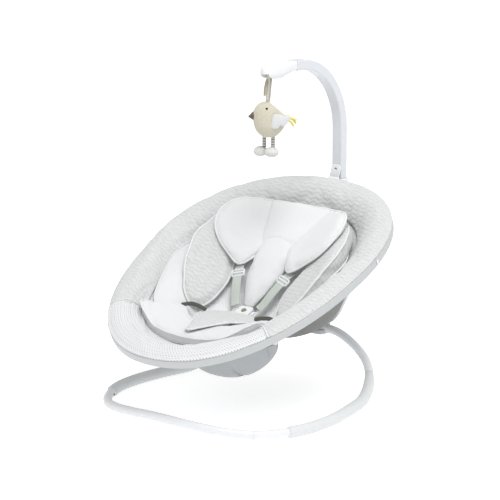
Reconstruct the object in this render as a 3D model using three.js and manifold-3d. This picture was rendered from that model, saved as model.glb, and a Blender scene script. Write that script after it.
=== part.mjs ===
// Bouncer seat for a baby: a floor loop of bent tube, a hub behind the seat, an egg-shaped padded ring
// with a fabric hammock, a loose infant insert, a harness, and a toy arm with a hanging plush bird.
// Millimetres, +Z up, -Y towards the baby's feet, +X to the baby's left. The floor is z = 0.
import * as THREE from 'three';
import { mergeVertices } from 'three/addons/utils/BufferGeometryUtils.js';
import Module from 'manifold-3d';

const wasm = await Module();
wasm.setup();

// ---- driving dimensions ----------------------------------------------------------------------
const MODEL_SHIFT_Y = -16.54;         // centres the whole object's box on y = 0

const RING_WIDTH = 560;             // outside of the rim, before the egg shape widens the head end
const RING_LENGTH = 685;
const RING_EGG = 0.12;              // how much wider the head end is than the foot end
const RING_SQUARENESS = 2.23;       // superellipse power
const RING_TILT = THREE.MathUtils.degToRad(23.7);
const RING_HEIGHT = 282;            // rim's lower edge above the floor, at the ring's middle
const BAND_HEIGHT = 17;
const BAND_THICKNESS = 4;
const RING_TUBE_RADIUS = 8;
const RING_TUBE_INSET = 13;
const FOOT_PANEL_HALF_ANGLE = 0.94; // the mesh panel covers the foot end to this angle each side

const RAIL_RADIUS = 9.5;
const RAIL_FLOOR_Z = 11.5;
const FRONT_RISE = 19.5;            // the front tube's middle stands this much higher than the sleeves
const FRONT_RISE_END = 255;
const HUB_RISE = 106;
const HUB_RISE_START = 545;
const HUB_RISE_LENGTH = 270;
const SLEEVE_RADIUS = 12.1;
const SLEEVE_START = 290;
const SLEEVE_END = 655;
const FLEX_AT = 663;                // distance along the rail where the flexing rear tube begins
const FLEX_GAP = 1.2;
const RIGHT_JOINT_AT = -283;
const LEFT_JOINT_AT = 215;
const SPIGOT_RADIUS = 8;
const SPIGOT_LENGTH = 30;
const GAP = 0.4;

const LIP_INSET = 80;               // the rim pad's inner lip, from the ring's outside
const LIP_LEVEL = -12;
const WELL_DEPTH = 125;             // the hammock's depth under the lip at the seat
const BACK_DEPTH = 45;              // and behind the baby's head

const ARM_Y = 340;                  // toy arm's upright
const ARM_BEND_Z = 545;
const ARM_REACH = 162;
const ARM_RISE = 165;
const ARM_WIDTH = 27;
const ARM_DEPTH = 22;
const ARM_CORNER = 3;
const HOOK = new THREE.Vector3(0, 84, 701);

// ---- small helpers ---------------------------------------------------------------------------
const vec = (x, y, z) => new THREE.Vector3(x, y, z);
const clamp01 = (t) => Math.min(1, Math.max(0, t));
const smooth = (from, to, t) => THREE.MathUtils.smoothstep(t, from, to);
const power = (value, exponent) => Math.sign(value) * Math.abs(value) ** exponent;

// A closed body with merged vertices, no zero-area triangles, and its faces pointing out.
function seal(geometry) {
  const bare = geometry.clone();
  bare.deleteAttribute('normal');
  bare.deleteAttribute('uv');
  const merged = mergeVertices(bare, 1e-3);
  const index = merged.index.array;
  const position = merged.attributes.position;
  const faces = [];
  let volume = 0;
  for (let i = 0; i < index.length; i += 3) {
    const [a, b, c] = [index[i], index[i + 1], index[i + 2]];
    if (a === b || b === c || c === a) continue;
    faces.push(a, b, c);
    const corner = [a, b, c].map((k) => new THREE.Vector3().fromBufferAttribute(position, k));
    volume += corner[0].dot(corner[1].cross(corner[2]));
  }
  if (volume < 0) faces.reverse();
  merged.setIndex(faces);
  merged.computeVertexNormals();
  return merged;
}

function toSolid(geometry) {
  const sealed = seal(geometry);
  const mesh = new wasm.Mesh({
    numProp: 3,
    vertProperties: new Float32Array(sealed.attributes.position.array),
    triVerts: new Uint32Array(sealed.index.array),
  });
  return new wasm.Manifold(mesh);
}

function fromSolid(solid) {
  const mesh = solid.getMesh();
  const geometry = new THREE.BufferGeometry();
  const vertices = [];
  for (let i = 0; i < mesh.vertProperties.length; i += mesh.numProp) {
    vertices.push(...mesh.vertProperties.slice(i, i + 3));
  }
  geometry.setAttribute('position', new THREE.Float32BufferAttribute(vertices, 3));
  geometry.setIndex(Array.from(mesh.triVerts));
  geometry.computeVertexNormals();
  return geometry;
}

const cut = (body, ...tools) => fromSolid(tools.reduce((s, t) => s.subtract(toSolid(t)), toSolid(body)));
const join = (body, ...others) => fromSolid(others.reduce((s, t) => s.add(toSolid(t)), toSolid(body)));

// A grid of (along + 1) by (around + 1) points bent into a body. A loop joins its two ends; without
// it each end is closed by a flat fan.
function gridBody(along, around, point, { loop = false } = {}) {
  const plane = new THREE.PlaneGeometry(1, 1, along, around);
  const position = plane.attributes.position;
  const ringCentre = (t) => {
    const sum = vec(0, 0, 0);
    for (let k = 0; k < around; k += 1) sum.add(point(t, k / around));
    return sum.divideScalar(around);
  };
  const ends = loop ? null : [ringCentre(0), ringCentre(1)];
  for (let i = 0; i < position.count; i += 1) {
    const row = Math.round((position.getX(i) + 0.5) * along);
    const k = Math.round((position.getY(i) + 0.5) * around) % around;
    let p;
    if (loop) p = point((row % along) / along, k / around);
    else if (row === 0) p = ends[0];
    else if (row === along) p = ends[1];
    else p = point((row - 1) / (along - 2), k / around);
    position.setXYZ(i, p.x, p.y, p.z);
  }
  return seal(plane);
}

// A round bar along a curve.
function bar(curve, radius, steps, sides = 10) {
  const circle = new THREE.Shape().absarc(0, 0, radius, 0, 2 * Math.PI);
  return new THREE.ExtrudeGeometry(circle, {
    steps, extrudePath: curve, curveSegments: sides / 2, bevelEnabled: false,
  });
}

function roundedRect(width, height, radius) {
  const x = width / 2 - radius;
  const y = height / 2 - radius;
  return new THREE.Shape()
    .absarc(x, y, radius, 0, Math.PI / 2)
    .absarc(-x, y, radius, Math.PI / 2, Math.PI)
    .absarc(-x, -y, radius, Math.PI, 1.5 * Math.PI)
    .absarc(x, -y, radius, 1.5 * Math.PI, 2 * Math.PI);
}

// An upright block with rounded corners in plan, standing on z = 0.
function block(width, depth, height, radius, segments = 2) {
  return new THREE.ExtrudeGeometry(roundedRect(width, depth, radius), {
    depth: height, curveSegments: segments, bevelEnabled: false,
  });
}

// Turns a geometry whose length runs along +Z onto a direction, and moves it to a point.
function aimed(geometry, at, direction) {
  const turn = new THREE.Quaternion().setFromUnitVectors(vec(0, 0, 1), direction.clone().normalize());
  return geometry.clone().applyQuaternion(turn).translate(at.x, at.y, at.z);
}

const SIDES = [['left', 1], ['right', -1]];

// ---- materials -------------------------------------------------------------------------------
const material = (color, roughness, metalness = 0) => (
  new THREE.MeshStandardMaterial({ color, roughness, metalness }));
const LOOK = {
  whiteTube: material(0xf3f4f5, 0.35, 0.1),
  rubber: material(0xd6dadb, 0.75),
  whitePlastic: material(0xf2f3f4, 0.4),
  greyPlastic: material(0xd9dbdc, 0.5),
  knit: material(0xe3e5e4, 0.95),
  mesh: material(0xeeeff1, 0.9),
  lining: material(0xb6babd, 0.95),
  dome: material(0x8d8f8c, 0.9),
  insert: material(0xf2f3f4, 0.92),
  webbing: material(0xd3dad3, 0.85),
  button: material(0xb9b4a2, 0.5),
  steel: material(0x8b8d8f, 0.35, 0.9),
  plush: material(0xdbd8c5, 1),
  beak: material(0x87806f, 0.9),
  eye: material(0x1c1a18, 0.2),
  felt: material(0xe9e9e7, 1),
  yellow: material(0xf0dc4a, 0.9),
};

const model = new THREE.Group();
model.position.y = MODEL_SHIFT_Y;
const seat = new THREE.Group();     // x across, y from foot to head, z out of the ring's plane
seat.position.z = RING_HEIGHT;
seat.rotation.x = RING_TILT;
model.add(seat);

function add(group, name, geometry, look) {
  const mesh = new THREE.Mesh(geometry, look);
  mesh.name = name;
  group.add(mesh);
  return mesh;
}

// From the upright frame to the ring's own frame.
function ringPoint(x, y, z) {
  return vec(x, y, z - RING_HEIGHT).applyAxisAngle(vec(1, 0, 0), -RING_TILT);
}

// ---- the rail: one curve on the floor from the hub's right side, round the front, to its left ---
const HALF_RAIL = [[70, -290], [150, -262], [206, -219], [250, -140], [260, -55], [245, 51], [214, 158],
  [172, 207], [96, 229], [20, 233]];
const railPlan = new THREE.CatmullRomCurve3([
  ...HALF_RAIL.slice().reverse().map(([x, y]) => vec(-x, y, 0)),
  vec(0, -296, 0),
  ...HALF_RAIL.map(([x, y]) => vec(x, y, 0)),
], false, 'centripetal');
railPlan.arcLengthDivisions = 600;
const RAIL_LENGTH = railPlan.getLength();
const HUB_PLUG_AT = RAIL_LENGTH / 2 - 4;

function railHeight(distance) {
  const front = FRONT_RISE * (1 - smooth(0, FRONT_RISE_END, distance));
  const rear = HUB_RISE * smooth(HUB_RISE_START, HUB_RISE_START + HUB_RISE_LENGTH, distance);
  return RAIL_FLOOR_Z + front + rear;
}

// The stretch of rail between two distances from the front's middle; the baby's left is positive.
class Rail extends THREE.Curve {
  constructor(from, to) {
    super();
    this.from = from;
    this.to = to;
  }

  getPoint(t) {
    const distance = THREE.MathUtils.lerp(this.from, this.to, t);
    const p = railPlan.getPointAt(clamp01(0.5 + distance / RAIL_LENGTH));
    return vec(p.x, p.y, railHeight(Math.abs(distance)));
  }
}

const railBar = (from, to, radius, steps, sides) => bar(new Rail(from, to), radius, steps, sides);

// Each joint has a spigot that points towards the baby's left, with a sprung button through it.
function plugJoint(jointAt) {
  const curve = new Rail(jointAt + SPIGOT_LENGTH / 2, jointAt + SPIGOT_LENGTH / 2 + 1);
  const at = curve.getPoint(0);
  const along = curve.getPoint(1).sub(at);
  const inward = vec(-along.y, along.x, 0).normalize();
  const holeLength = RAIL_RADIUS + 8;
  const drill = new THREE.CylinderGeometry(3.4, 3.4, holeLength, 12).rotateX(Math.PI / 2);
  const hole = aimed(drill.translate(0, 0, holeLength / 2), at, inward);
  const button = new THREE.LatheGeometry([[0, 3], [2.9, 3], [2.9, 9.8], [2, 10.9], [0, 11.4]]
    .map(([x, y]) => new THREE.Vector2(x, y)), 12).rotateX(Math.PI / 2);
  return {
    spigot: railBar(jointAt - 5, jointAt + SPIGOT_LENGTH, SPIGOT_RADIUS, 4),
    pocket: railBar(jointAt - 3, jointAt + SPIGOT_LENGTH + 1, SPIGOT_RADIUS + GAP, 4),
    hole,
    button: seal(aimed(button, at, inward)),
  };
}

function addBase() {
  const joints = { left: plugJoint(LEFT_JOINT_AT), right: plugJoint(RIGHT_JOINT_AT) };
  const holes = [joints.left.hole, joints.right.hole];
  const bend = railBar(RIGHT_JOINT_AT + GAP, LEFT_JOINT_AT - GAP, RAIL_RADIUS, 24);
  const front = join(bend, joints.left.spigot);
  add(model, 'front_tube', cut(front, joints.right.pocket, ...holes), LOOK.whiteTube);

  const left = railBar(LEFT_JOINT_AT, FLEX_AT - FLEX_GAP, RAIL_RADIUS, 30);
  add(model, 'left_side_tube', cut(left, joints.left.pocket, ...holes), LOOK.whiteTube);
  const right = join(railBar(-FLEX_AT + FLEX_GAP, RIGHT_JOINT_AT, RAIL_RADIUS, 26), joints.right.spigot);
  add(model, 'right_side_tube', cut(right, ...holes), LOOK.whiteTube);

  const floor = new THREE.BoxGeometry(900, 900, 20).translate(0, 0, -10);
  for (const [side, sign] of SIDES) {
    add(model, `${side}_snap_button`, joints[side].button, LOOK.steel);
    const sleeve = cut(
      railBar(sign * SLEEVE_START, sign * SLEEVE_END, SLEEVE_RADIUS, 16, 12),
      railBar(sign * (SLEEVE_START - 3), sign * (SLEEVE_END + 3), RAIL_RADIUS + GAP + 0.2, 26),
      floor,
    );
    add(model, `${side}_grip_sleeve`, sleeve, LOOK.rubber);
    const rear = railBar(sign * (FLEX_AT + FLEX_GAP), sign * HUB_PLUG_AT, RAIL_RADIUS, 12);
    add(model, `${side}_rear_tube`, seal(rear), LOOK.whiteTube);
  }
}

// ---- hub and cradle arms: they carry the ring on the rear tubes --------------------------------
const HUB_Y = 233;
const HUB_Z = RAIL_FLOOR_Z + HUB_RISE;
const HUB_WIDTH = 96;
const HUB_DEPTH = 42;

const SADDLE_WIDTH = HUB_WIDTH - 12;
const SADDLE_TOP = HUB_Z + 34;

function addHub() {
  const sockets = [1, -1].map((sign) => railBar(
    sign * (HUB_PLUG_AT - 90), sign * (HUB_PLUG_AT + 2), RAIL_RADIUS + GAP, 8,
  ));
  const screwPlaces = { right: [-36, -15], left: [36, 15] };
  const screwHoles = Object.values(screwPlaces).map(([x, y]) => (
    new THREE.CylinderGeometry(2.6, 2.6, 40, 12).rotateX(Math.PI / 2).translate(x, HUB_Y + y, HUB_Z - 11)));
  const lower = block(HUB_WIDTH, HUB_DEPTH, 12.5, 14).translate(0, HUB_Y, HUB_Z - 12.7);
  add(model, 'hub_lower', cut(lower, ...sockets, ...screwHoles), LOOK.greyPlastic);

  const cap = block(HUB_WIDTH, HUB_DEPTH, 16, 14).translate(0, HUB_Y, HUB_Z + 0.2);
  const saddle = block(SADDLE_WIDTH, 28, SADDLE_TOP - HUB_Z - 12, 2).translate(0, HUB_Y - 2, HUB_Z + 12);
  add(model, 'hub_upper', cut(join(cap, saddle), ...sockets, ...screwHoles), LOOK.greyPlastic);

  const profile = [[0, 0], [4, 0], [4, 2], [2.2, 2], [2.2, 20], [0, 20]]
    .map(([x, y]) => new THREE.Vector2(x, y));
  for (const [side, [x, y]] of Object.entries(screwPlaces)) {
    const screw = new THREE.LatheGeometry(profile, 12).rotateX(Math.PI / 2);
    add(model, `hub_screw_${side}`, seal(screw.translate(x, HUB_Y + y, HUB_Z - 15)), LOOK.steel);
  }
}

// ---- the ring's outline and the seat well ------------------------------------------------------
// angle 0 is the baby's left, a quarter turn is the head end; inset is measured inwards.
function egg(angle, inset = 0) {
  const c = power(Math.cos(angle), 2 / RING_SQUARENESS);
  const s = power(Math.sin(angle), 2 / RING_SQUARENESS);
  return vec((RING_WIDTH / 2 - inset) * c * (1 + RING_EGG * s), (RING_LENGTH / 2 - inset) * s, 0);
}

// 0 at the well's middle, 1 on the rim pad's inner lip.
function wellRadius(x, y) {
  const s = y / (RING_LENGTH / 2 - LIP_INSET);
  const c = x / ((RING_WIDTH / 2 - LIP_INSET) * (1 + RING_EGG * THREE.MathUtils.clamp(s, -1, 1)));
  return (Math.abs(c) ** RING_SQUARENESS + Math.abs(s) ** RING_SQUARENESS) ** (1 / RING_SQUARENESS);
}

// Height of the hammock's inner surface over the ring's plane.
function wellLevel(x, y) {
  const depth = THREE.MathUtils.lerp(WELL_DEPTH, BACK_DEPTH, smooth(-50, 160, y));
  return LIP_LEVEL - depth * (1 - Math.min(1, wellRadius(x, y)) ** 2.6);
}

// Evenly spaced angles bunch up on a superellipse's sides, so the rim is stepped by its own angle.
const rimAngle = (t) => 2 * Math.PI * t;

function rimBody(section, steps, from = 0, to = 1) {
  const whole = to - from === 1;
  const point = (t, k) => {
    const [inset, level] = section[Math.round(k * section.length) % section.length];
    const p = egg(rimAngle(THREE.MathUtils.lerp(from, to, t)), inset);
    return vec(p.x, p.y, level);
  };
  return gridBody(steps, section.length, point, { loop: whole });
}

const circleSection = (inset, level, radius, sides) => Array.from({ length: sides }, (_, i) => {
  const a = (2 * Math.PI * i) / sides;
  return [inset + radius * Math.cos(a), level + radius * Math.sin(a)];
});

// The padded roll, from its outer seam over the crown and down to the lip, then back underneath.
const RIM_SECTION = [[1, BAND_HEIGHT + GAP], [3, 25], [11, 30.5], [22, 32.5], [36, 30], [52, 20], [66, 6],
  [78, -9], [75, -14], [60, -4], [44, 9], [28, BAND_HEIGHT + GAP]];

function addRing() {
  const tube = circleSection(RING_TUBE_INSET, 1 + RING_TUBE_RADIUS, RING_TUBE_RADIUS, 8);
  add(seat, 'ring_frame', rimBody(tube, 44), LOOK.whiteTube);

  const band = [[1, 0], [0, 2], [0, BAND_HEIGHT - 2], [1, BAND_HEIGHT], [BAND_THICKNESS, BAND_HEIGHT],
    [BAND_THICKNESS, 0]];
  add(seat, 'rim_band', rimBody(band, 56), LOOK.greyPlastic);

  const footFrom = 0.75 - FOOT_PANEL_HALF_ANGLE / (2 * Math.PI);
  const footTo = 0.75 + FOOT_PANEL_HALF_ANGLE / (2 * Math.PI);
  const seam = 0.0008;
  add(seat, 'rim_mesh', rimBody(RIM_SECTION, 20, footFrom + seam, footTo - seam), LOOK.mesh);
  add(seat, 'rim_knit', rimBody(RIM_SECTION, 46, footTo + seam, footFrom + 1 - seam), LOOK.knit);
}

// ---- hammock, front bag and back pocket --------------------------------------------------------
// A thin bowl: its inner and outer surfaces meet in a folded edge. innerScale narrows the inner one.
function bowl(outline, inner, outer, around, rings, innerScale = 1) {
  const point = (t, k) => {
    const inside = t < 0.5;
    const r = inside ? t * 2 : (1 - t) * 2;
    const p = outline(k, Math.sin((r * Math.PI) / 2) * (inside ? innerScale : 1));
    return vec(p.x, p.y, inside ? inner(p.x, p.y) : outer(p.x, p.y));
  };
  return gridBody(rings * 2 + 2, around, point);
}

const LINER_EDGE = 0.985;
const LINER_THICKNESS = 4;
const POUCH_THICKNESS = 3;
const POUCH_INNER = 0.98;           // the pouch's inner surface is this much narrower than its outside

function addHammock() {
  const lip = (k, r) => egg(rimAngle(k), LIP_INSET).multiplyScalar(r * LINER_EDGE);
  const under = (x, y) => wellLevel(x, y) - 2 - LINER_THICKNESS;
  add(seat, 'hammock_liner', bowl(lip, (x, y) => wellLevel(x, y) - 2, under, 40, 6), LOOK.lining);

  // Both pouches hang under the liner, as thin shells that leave room for what they cover.
  const pouch = (centre, halfWidth, halfLength, depth, squareness) => {
    const outline = (k, r) => {
      const a = rimAngle(k);
      return vec(
        halfWidth * r * power(Math.cos(a), 2 / squareness),
        centre + halfLength * r * power(Math.sin(a), 2 / squareness),
        0,
      );
    };
    const fall = (x, y) => {
      const r = (Math.abs(x / halfWidth) ** squareness
        + Math.abs((y - centre) / halfLength) ** squareness) ** (1 / squareness);
      return Math.sqrt(Math.max(0, 1 - Math.min(1, r) ** 2.4));
    };
    const outer = (x, y) => under(x, y) - 1.8 - (depth - 1.8 + under(x, y)) * fall(x, y);
    const inner = (x, y) => {
      const inside = fall(x / POUCH_INNER, centre + (y - centre) / POUCH_INNER);
      return under(x, y) - 1.3 - (depth - POUCH_THICKNESS + under(x, y)) * inside;
    };
    return bowl(outline, inner, outer, 26, 5, POUCH_INNER);
  };
  add(seat, 'front_bag', pouch(-112, 112, 84, 168, 2.2), LOOK.lining);
  add(seat, 'back_pocket', pouch(84, 182, 108, 186, 2.2), LOOK.dome);
}

// ---- cradle arms: flat struts from the hub to the rim's sides ------------------------------------
const CRADLE_AT = 0.066;            // where they meet the rim, as a fraction of a turn
const RIVET_AT = 0.041;

function addCradle() {
  const root = ringPoint(0, HUB_Y - 2, SADDLE_TOP - 11);
  const rim = egg(rimAngle(CRADLE_AT), RING_TUBE_INSET);
  for (const [side, sign] of SIDES) {
    const path = new THREE.CatmullRomCurve3([
      vec(sign * (SADDLE_WIDTH / 2 + 7), root.y, root.z),
      vec(sign * (SADDLE_WIDTH / 2 + 20), root.y, root.z),
      vec(sign * 150, rim.y - 8, -118),
      vec(sign * 210, rim.y - 2, -57),
      vec(sign * (rim.x - 3), rim.y, -4),
    ]);
    const strip = new THREE.ExtrudeGeometry(roundedRect(5, 17, 2), {
      steps: 14, extrudePath: path, curveSegments: 1, bevelEnabled: false,
    });
    add(seat, `${side}_cradle_arm`, seal(strip), LOOK.greyPlastic);

    const head = new THREE.LatheGeometry([[0, 0], [4.5, 0], [4.5, 1], [2.5, 2.2], [0, 2.4]]
      .map(([x, y]) => new THREE.Vector2(x, y)), 12).rotateX(Math.PI / 2);
    const on = egg(rimAngle(RIVET_AT), -GAP);
    const beyond = egg(rimAngle(RIVET_AT), -GAP - 1);
    const outward = vec(sign * (beyond.x - on.x), beyond.y - on.y, 0);
    const rivet = aimed(head, vec(sign * on.x, on.y, BAND_HEIGHT / 2), outward);
    add(seat, `${side}_band_rivet`, seal(rivet), LOOK.whitePlastic);
  }
}

// ---- infant insert -------------------------------------------------------------------------------
// A soft pad: a lens of the given outline, lying on a surface, with rounded edges. thickness is a
// function of the place, like the level it lies on.
function pad(outline, under, thickness, { around = 28, rings = 2, centre = null } = {}) {
  const curve = new THREE.CatmullRomCurve3(outline.map(([x, y]) => vec(x, y, 0)), true, 'centripetal');
  const middle = centre ? vec(centre[0], centre[1], 0)
    : outline.reduce((sum, [x, y]) => sum.add(vec(x, y, 0)), vec(0, 0, 0)).divideScalar(outline.length);
  const point = (t, k) => {
    const turn = Math.PI * THREE.MathUtils.lerp(0.06, 0.94, t);
    const p = curve.getPointAt(k).sub(middle).multiplyScalar(Math.sin(turn) ** 0.6).add(middle);
    const lift = 0.5 + 0.5 * power(Math.cos(turn), 0.45);
    return vec(p.x, p.y, under(p.x, p.y) + thickness(p.x, p.y) * lift);
  };
  return gridBody(rings * 2 + 4, around, point);
}

const reflect = (outline) => outline.map(([x, y]) => [-x, y]).reverse();
const both = (half) => [...half, ...reflect(half)];

// How far inside the ring's outline a point lies.
function insetOf(x, y) {
  let near = 0;
  let far = RING_WIDTH / 2 - 1;
  for (let i = 0; i < 16; i += 1) {
    const inset = (near + far) / 2;
    const s = y / (RING_LENGTH / 2 - inset);
    const c = x / ((RING_WIDTH / 2 - inset) * (1 + RING_EGG * THREE.MathUtils.clamp(s, -1, 1)));
    if (Math.abs(c) ** RING_SQUARENESS + Math.abs(s) ** RING_SQUARENESS < 1) near = inset;
    else far = inset;
  }
  return near;
}

// Height of what lies under the insert: the hammock, and the rim's inner slope beyond its lip.
function supportLevel(x, y) {
  const inset = insetOf(x, y);
  const upper = RIM_SECTION.slice(2, 8);
  const after = upper.findIndex(([at]) => at > inset);
  if (after < 0) return wellLevel(x, y);
  if (after === 0) return upper[0][1];
  const [[from, high], [to, low]] = [upper[after - 1], upper[after]];
  return THREE.MathUtils.mapLinear(inset, from, to, high, low);
}

// Heights over the ring's plane that the insert's layers follow.
const BASE_PAD = 30;
const BASE_LIFT = 4;
const SIDE_PANEL = 7;               // the base thins to this where it climbs the rim's inner slope
const FOOT_PAD = 26;
const HEAD_PAD = 18;
const BODY_PAD = 16;
const WING_PAD = 14;
const CROTCH_PAD = 7;
const even = (thickness) => () => thickness;
const baseThickness = (x, y) => (
  THREE.MathUtils.lerp(SIDE_PANEL, BASE_PAD - 2, smooth(84, 124, insetOf(x, y))));
const onWell = (lift) => (x, y) => supportLevel(x, y) + lift;
const over = (level, clearance) => (x, y) => Math.max(level(x, y), supportLevel(x, y) + clearance);
const wingSlope = (x, y) => -86 + 0.27 * (y + 30) + 0.0019 * x * x;
const wingLevel = over((x, y) => Math.max(wingSlope(x, y), wellLevel(x, y) + BASE_PAD + 3), 14);
const headLevel = over((x, y) => -58 + 0.27 * y + 0.0018 * x * x, BASE_PAD + 6);
const footLevel = over((x, y) => -34 - 0.34 * (y + 215) + 0.0015 * x * x, 4);
const bodyLevel = (x, y) => -70 + 0.46 * y - 0.003 * x * x;
const crotchLevel = (x, y) => -65 - 0.378 * (y + 48);

const BASE_OUTLINE = both([
  [60, -150], [112, -122], [150, -88], [192, -86], [208, -30], [212, 30], [208, 96], [180, 158], [120, 200],
  [50, 214],
]);
const FOOT_OUTLINE = both([[70, -218], [136, -192], [178, -150], [166, -108], [112, -100], [52, -140]]);
const WING_OUTLINE = [
  [96, 60], [72, 0], [94, -48], [124, -62], [158, -36], [184, 24], [193, 96], [176, 154], [140, 136],
];
const HEAD_OUTLINE = both([
  [30, 236], [92, 232], [146, 200], [168, 148], [150, 100], [104, 68], [62, 54], [30, 92],
]);
const BODY_OUTLINE = both([[14, -20], [26, -8], [44, 24], [49, 52], [39, 80], [14, 88]]);
const CROTCH_OUTLINE = both([[12, -206], [28, -160], [62, -100], [72, -66], [40, -50]]);

function addInsert() {
  const parts = {
    insert_base: [BASE_OUTLINE, onWell(BASE_LIFT), baseThickness, { around: 44, rings: 5 }, LOOK.insert],
    foot_cushion: [FOOT_OUTLINE, footLevel, even(FOOT_PAD), { around: 32, centre: [0, -172] }, LOOK.insert],
    left_wing: [WING_OUTLINE, wingLevel, even(WING_PAD), { around: 22 }, LOOK.knit],
    right_wing: [reflect(WING_OUTLINE), wingLevel, even(WING_PAD), { around: 22 }, LOOK.knit],
    head_support: [HEAD_OUTLINE, headLevel, even(HEAD_PAD), { around: 32, centre: [0, 150] }, LOOK.insert],
    body_pad: [BODY_OUTLINE, bodyLevel, even(BODY_PAD), { around: 22 }, LOOK.insert],
    crotch_panel: [CROTCH_OUTLINE, crotchLevel, even(CROTCH_PAD), { around: 22 }, LOOK.knit],
  };
  for (const [name, [outline, level, thickness, options, look]] of Object.entries(parts)) {
    add(seat, name, pad(outline, level, thickness, options), look);
  }
}

// ---- harness -------------------------------------------------------------------------------------
const BUCKLE = vec(0, -39, -78);
const PAD_SLOPE = vec(0, -0.38, 0.92).normalize();

// A flat strap along a line of points, its width square to the line and lying on the pads.
function webbing(points, width, thickness, steps) {
  const curve = new THREE.CatmullRomCurve3(points, false, 'centripetal');
  const corners = [[-1, -1], [1, -1], [1, 1], [-1, 1]];
  const point = (t, k) => {
    const [u, v] = corners[Math.round(k * 4) % 4];
    const along = curve.getTangentAt(clamp01(t));
    const across = along.clone().cross(PAD_SLOPE).normalize();
    const out = across.clone().cross(along).normalize();
    return curve.getPointAt(clamp01(t))
      .addScaledVector(across, (u * width) / 2).addScaledVector(out, (v * thickness) / 2);
  };
  return gridBody(steps, 4, point);
}

const ADJUSTER_TOP = (sign) => vec(sign * 66, 52, -34.5);
const ADJUSTER_LOW = (sign) => vec(sign * 49, 8, -52.5);

function addHarness() {
  const slot = new THREE.BoxGeometry(60, 15, 3.4).translate(0, BUCKLE.y, BUCKLE.z);
  const core = new THREE.BoxGeometry(13, 40, 20).translate(0, BUCKLE.y, BUCKLE.z);
  const slots = cut(slot, core);
  const shell = block(36, 30, 12, 6).translate(0, BUCKLE.y, BUCKLE.z - 6);
  const well = new THREE.CylinderGeometry(5.6, 5.6, 9, 16).rotateX(Math.PI / 2)
    .translate(0, BUCKLE.y, BUCKLE.z + 2.6);
  add(seat, 'buckle_body', cut(shell, slots, well), LOOK.greyPlastic);
  const button = new THREE.LatheGeometry([[0, 0], [5.1, 0], [5.1, 6.6], [4.2, 7.4], [0, 7.6]]
    .map(([x, y]) => new THREE.Vector2(x, y)), 16).rotateX(Math.PI / 2);
  add(seat, 'buckle_button', seal(button.translate(0, BUCKLE.y, BUCKLE.z + 0.4)), LOOK.button);

  for (const [side, sign] of SIDES) {
    const tongue = block(24, 13, 2.4, 2.5).translate(sign * 20, BUCKLE.y, BUCKLE.z - 1.2);
    const eye = new THREE.BoxGeometry(3, 8, 6).translate(sign * 27, BUCKLE.y, BUCKLE.z);
    add(seat, `${side}_tongue`, cut(tongue, eye), LOOK.whitePlastic);

    const strap = webbing([
      ADJUSTER_TOP(sign), ADJUSTER_LOW(sign), vec(sign * 39, -14, -66), vec(sign * 31, -28, -73),
    ], 22, 1.4, 14);
    add(seat, `${side}_strap`, strap, LOOK.webbing);

    const along = ADJUSTER_LOW(sign).sub(ADJUSTER_TOP(sign)).normalize();
    const across = along.clone().cross(PAD_SLOPE).normalize();
    const out = across.clone().cross(along).normalize();
    const basis = new THREE.Matrix4().makeBasis(across, along, out);
    const frame = block(32, 19, 5.6, 3).translate(0, 0, -2.8);
    const strapWay = new THREE.BoxGeometry(23.4, 30, 2.4);
    const windows = [-4.6, 4.6].map((y) => new THREE.BoxGeometry(23.4, 4.8, 9).translate(0, y, 4.6));
    const ladder = cut(frame, strapWay, ...windows);
    const at = ADJUSTER_TOP(sign).addScaledVector(along, 14);
    const placed = ladder.applyMatrix4(basis).translate(at.x, at.y, at.z);
    add(seat, `${side}_adjuster`, seal(placed), LOOK.whitePlastic);
  }
  const crotchLine = [[-16, -1], [-34, -3], [-52, -4]].map(([y, z]) => vec(0, BUCKLE.y + y, BUCKLE.z + z));
  const crotch = webbing(crotchLine, 24, 1.4, 6);
  add(seat, 'crotch_strap', crotch, LOOK.webbing);
}

// ---- toy arm and its socket on the rim's head end -----------------------------------------------
const SOCKET_Z = 414;
const SOCKET_HEIGHT = 60;
const SPIGOT = { width: 19, depth: 14, foot: 430, corner: 3 };
const SCREW_Z = SOCKET_Z + 47;
const TIP_START = 165;
const TIP_END = 58;
const TIP_Z = ARM_BEND_Z + ARM_RISE - 1;

// Turns a body made upright into the ring's own frame.
const uprightToRing = (geometry) => geometry.clone().translate(0, 0, -RING_HEIGHT).rotateX(-RING_TILT);

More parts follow.
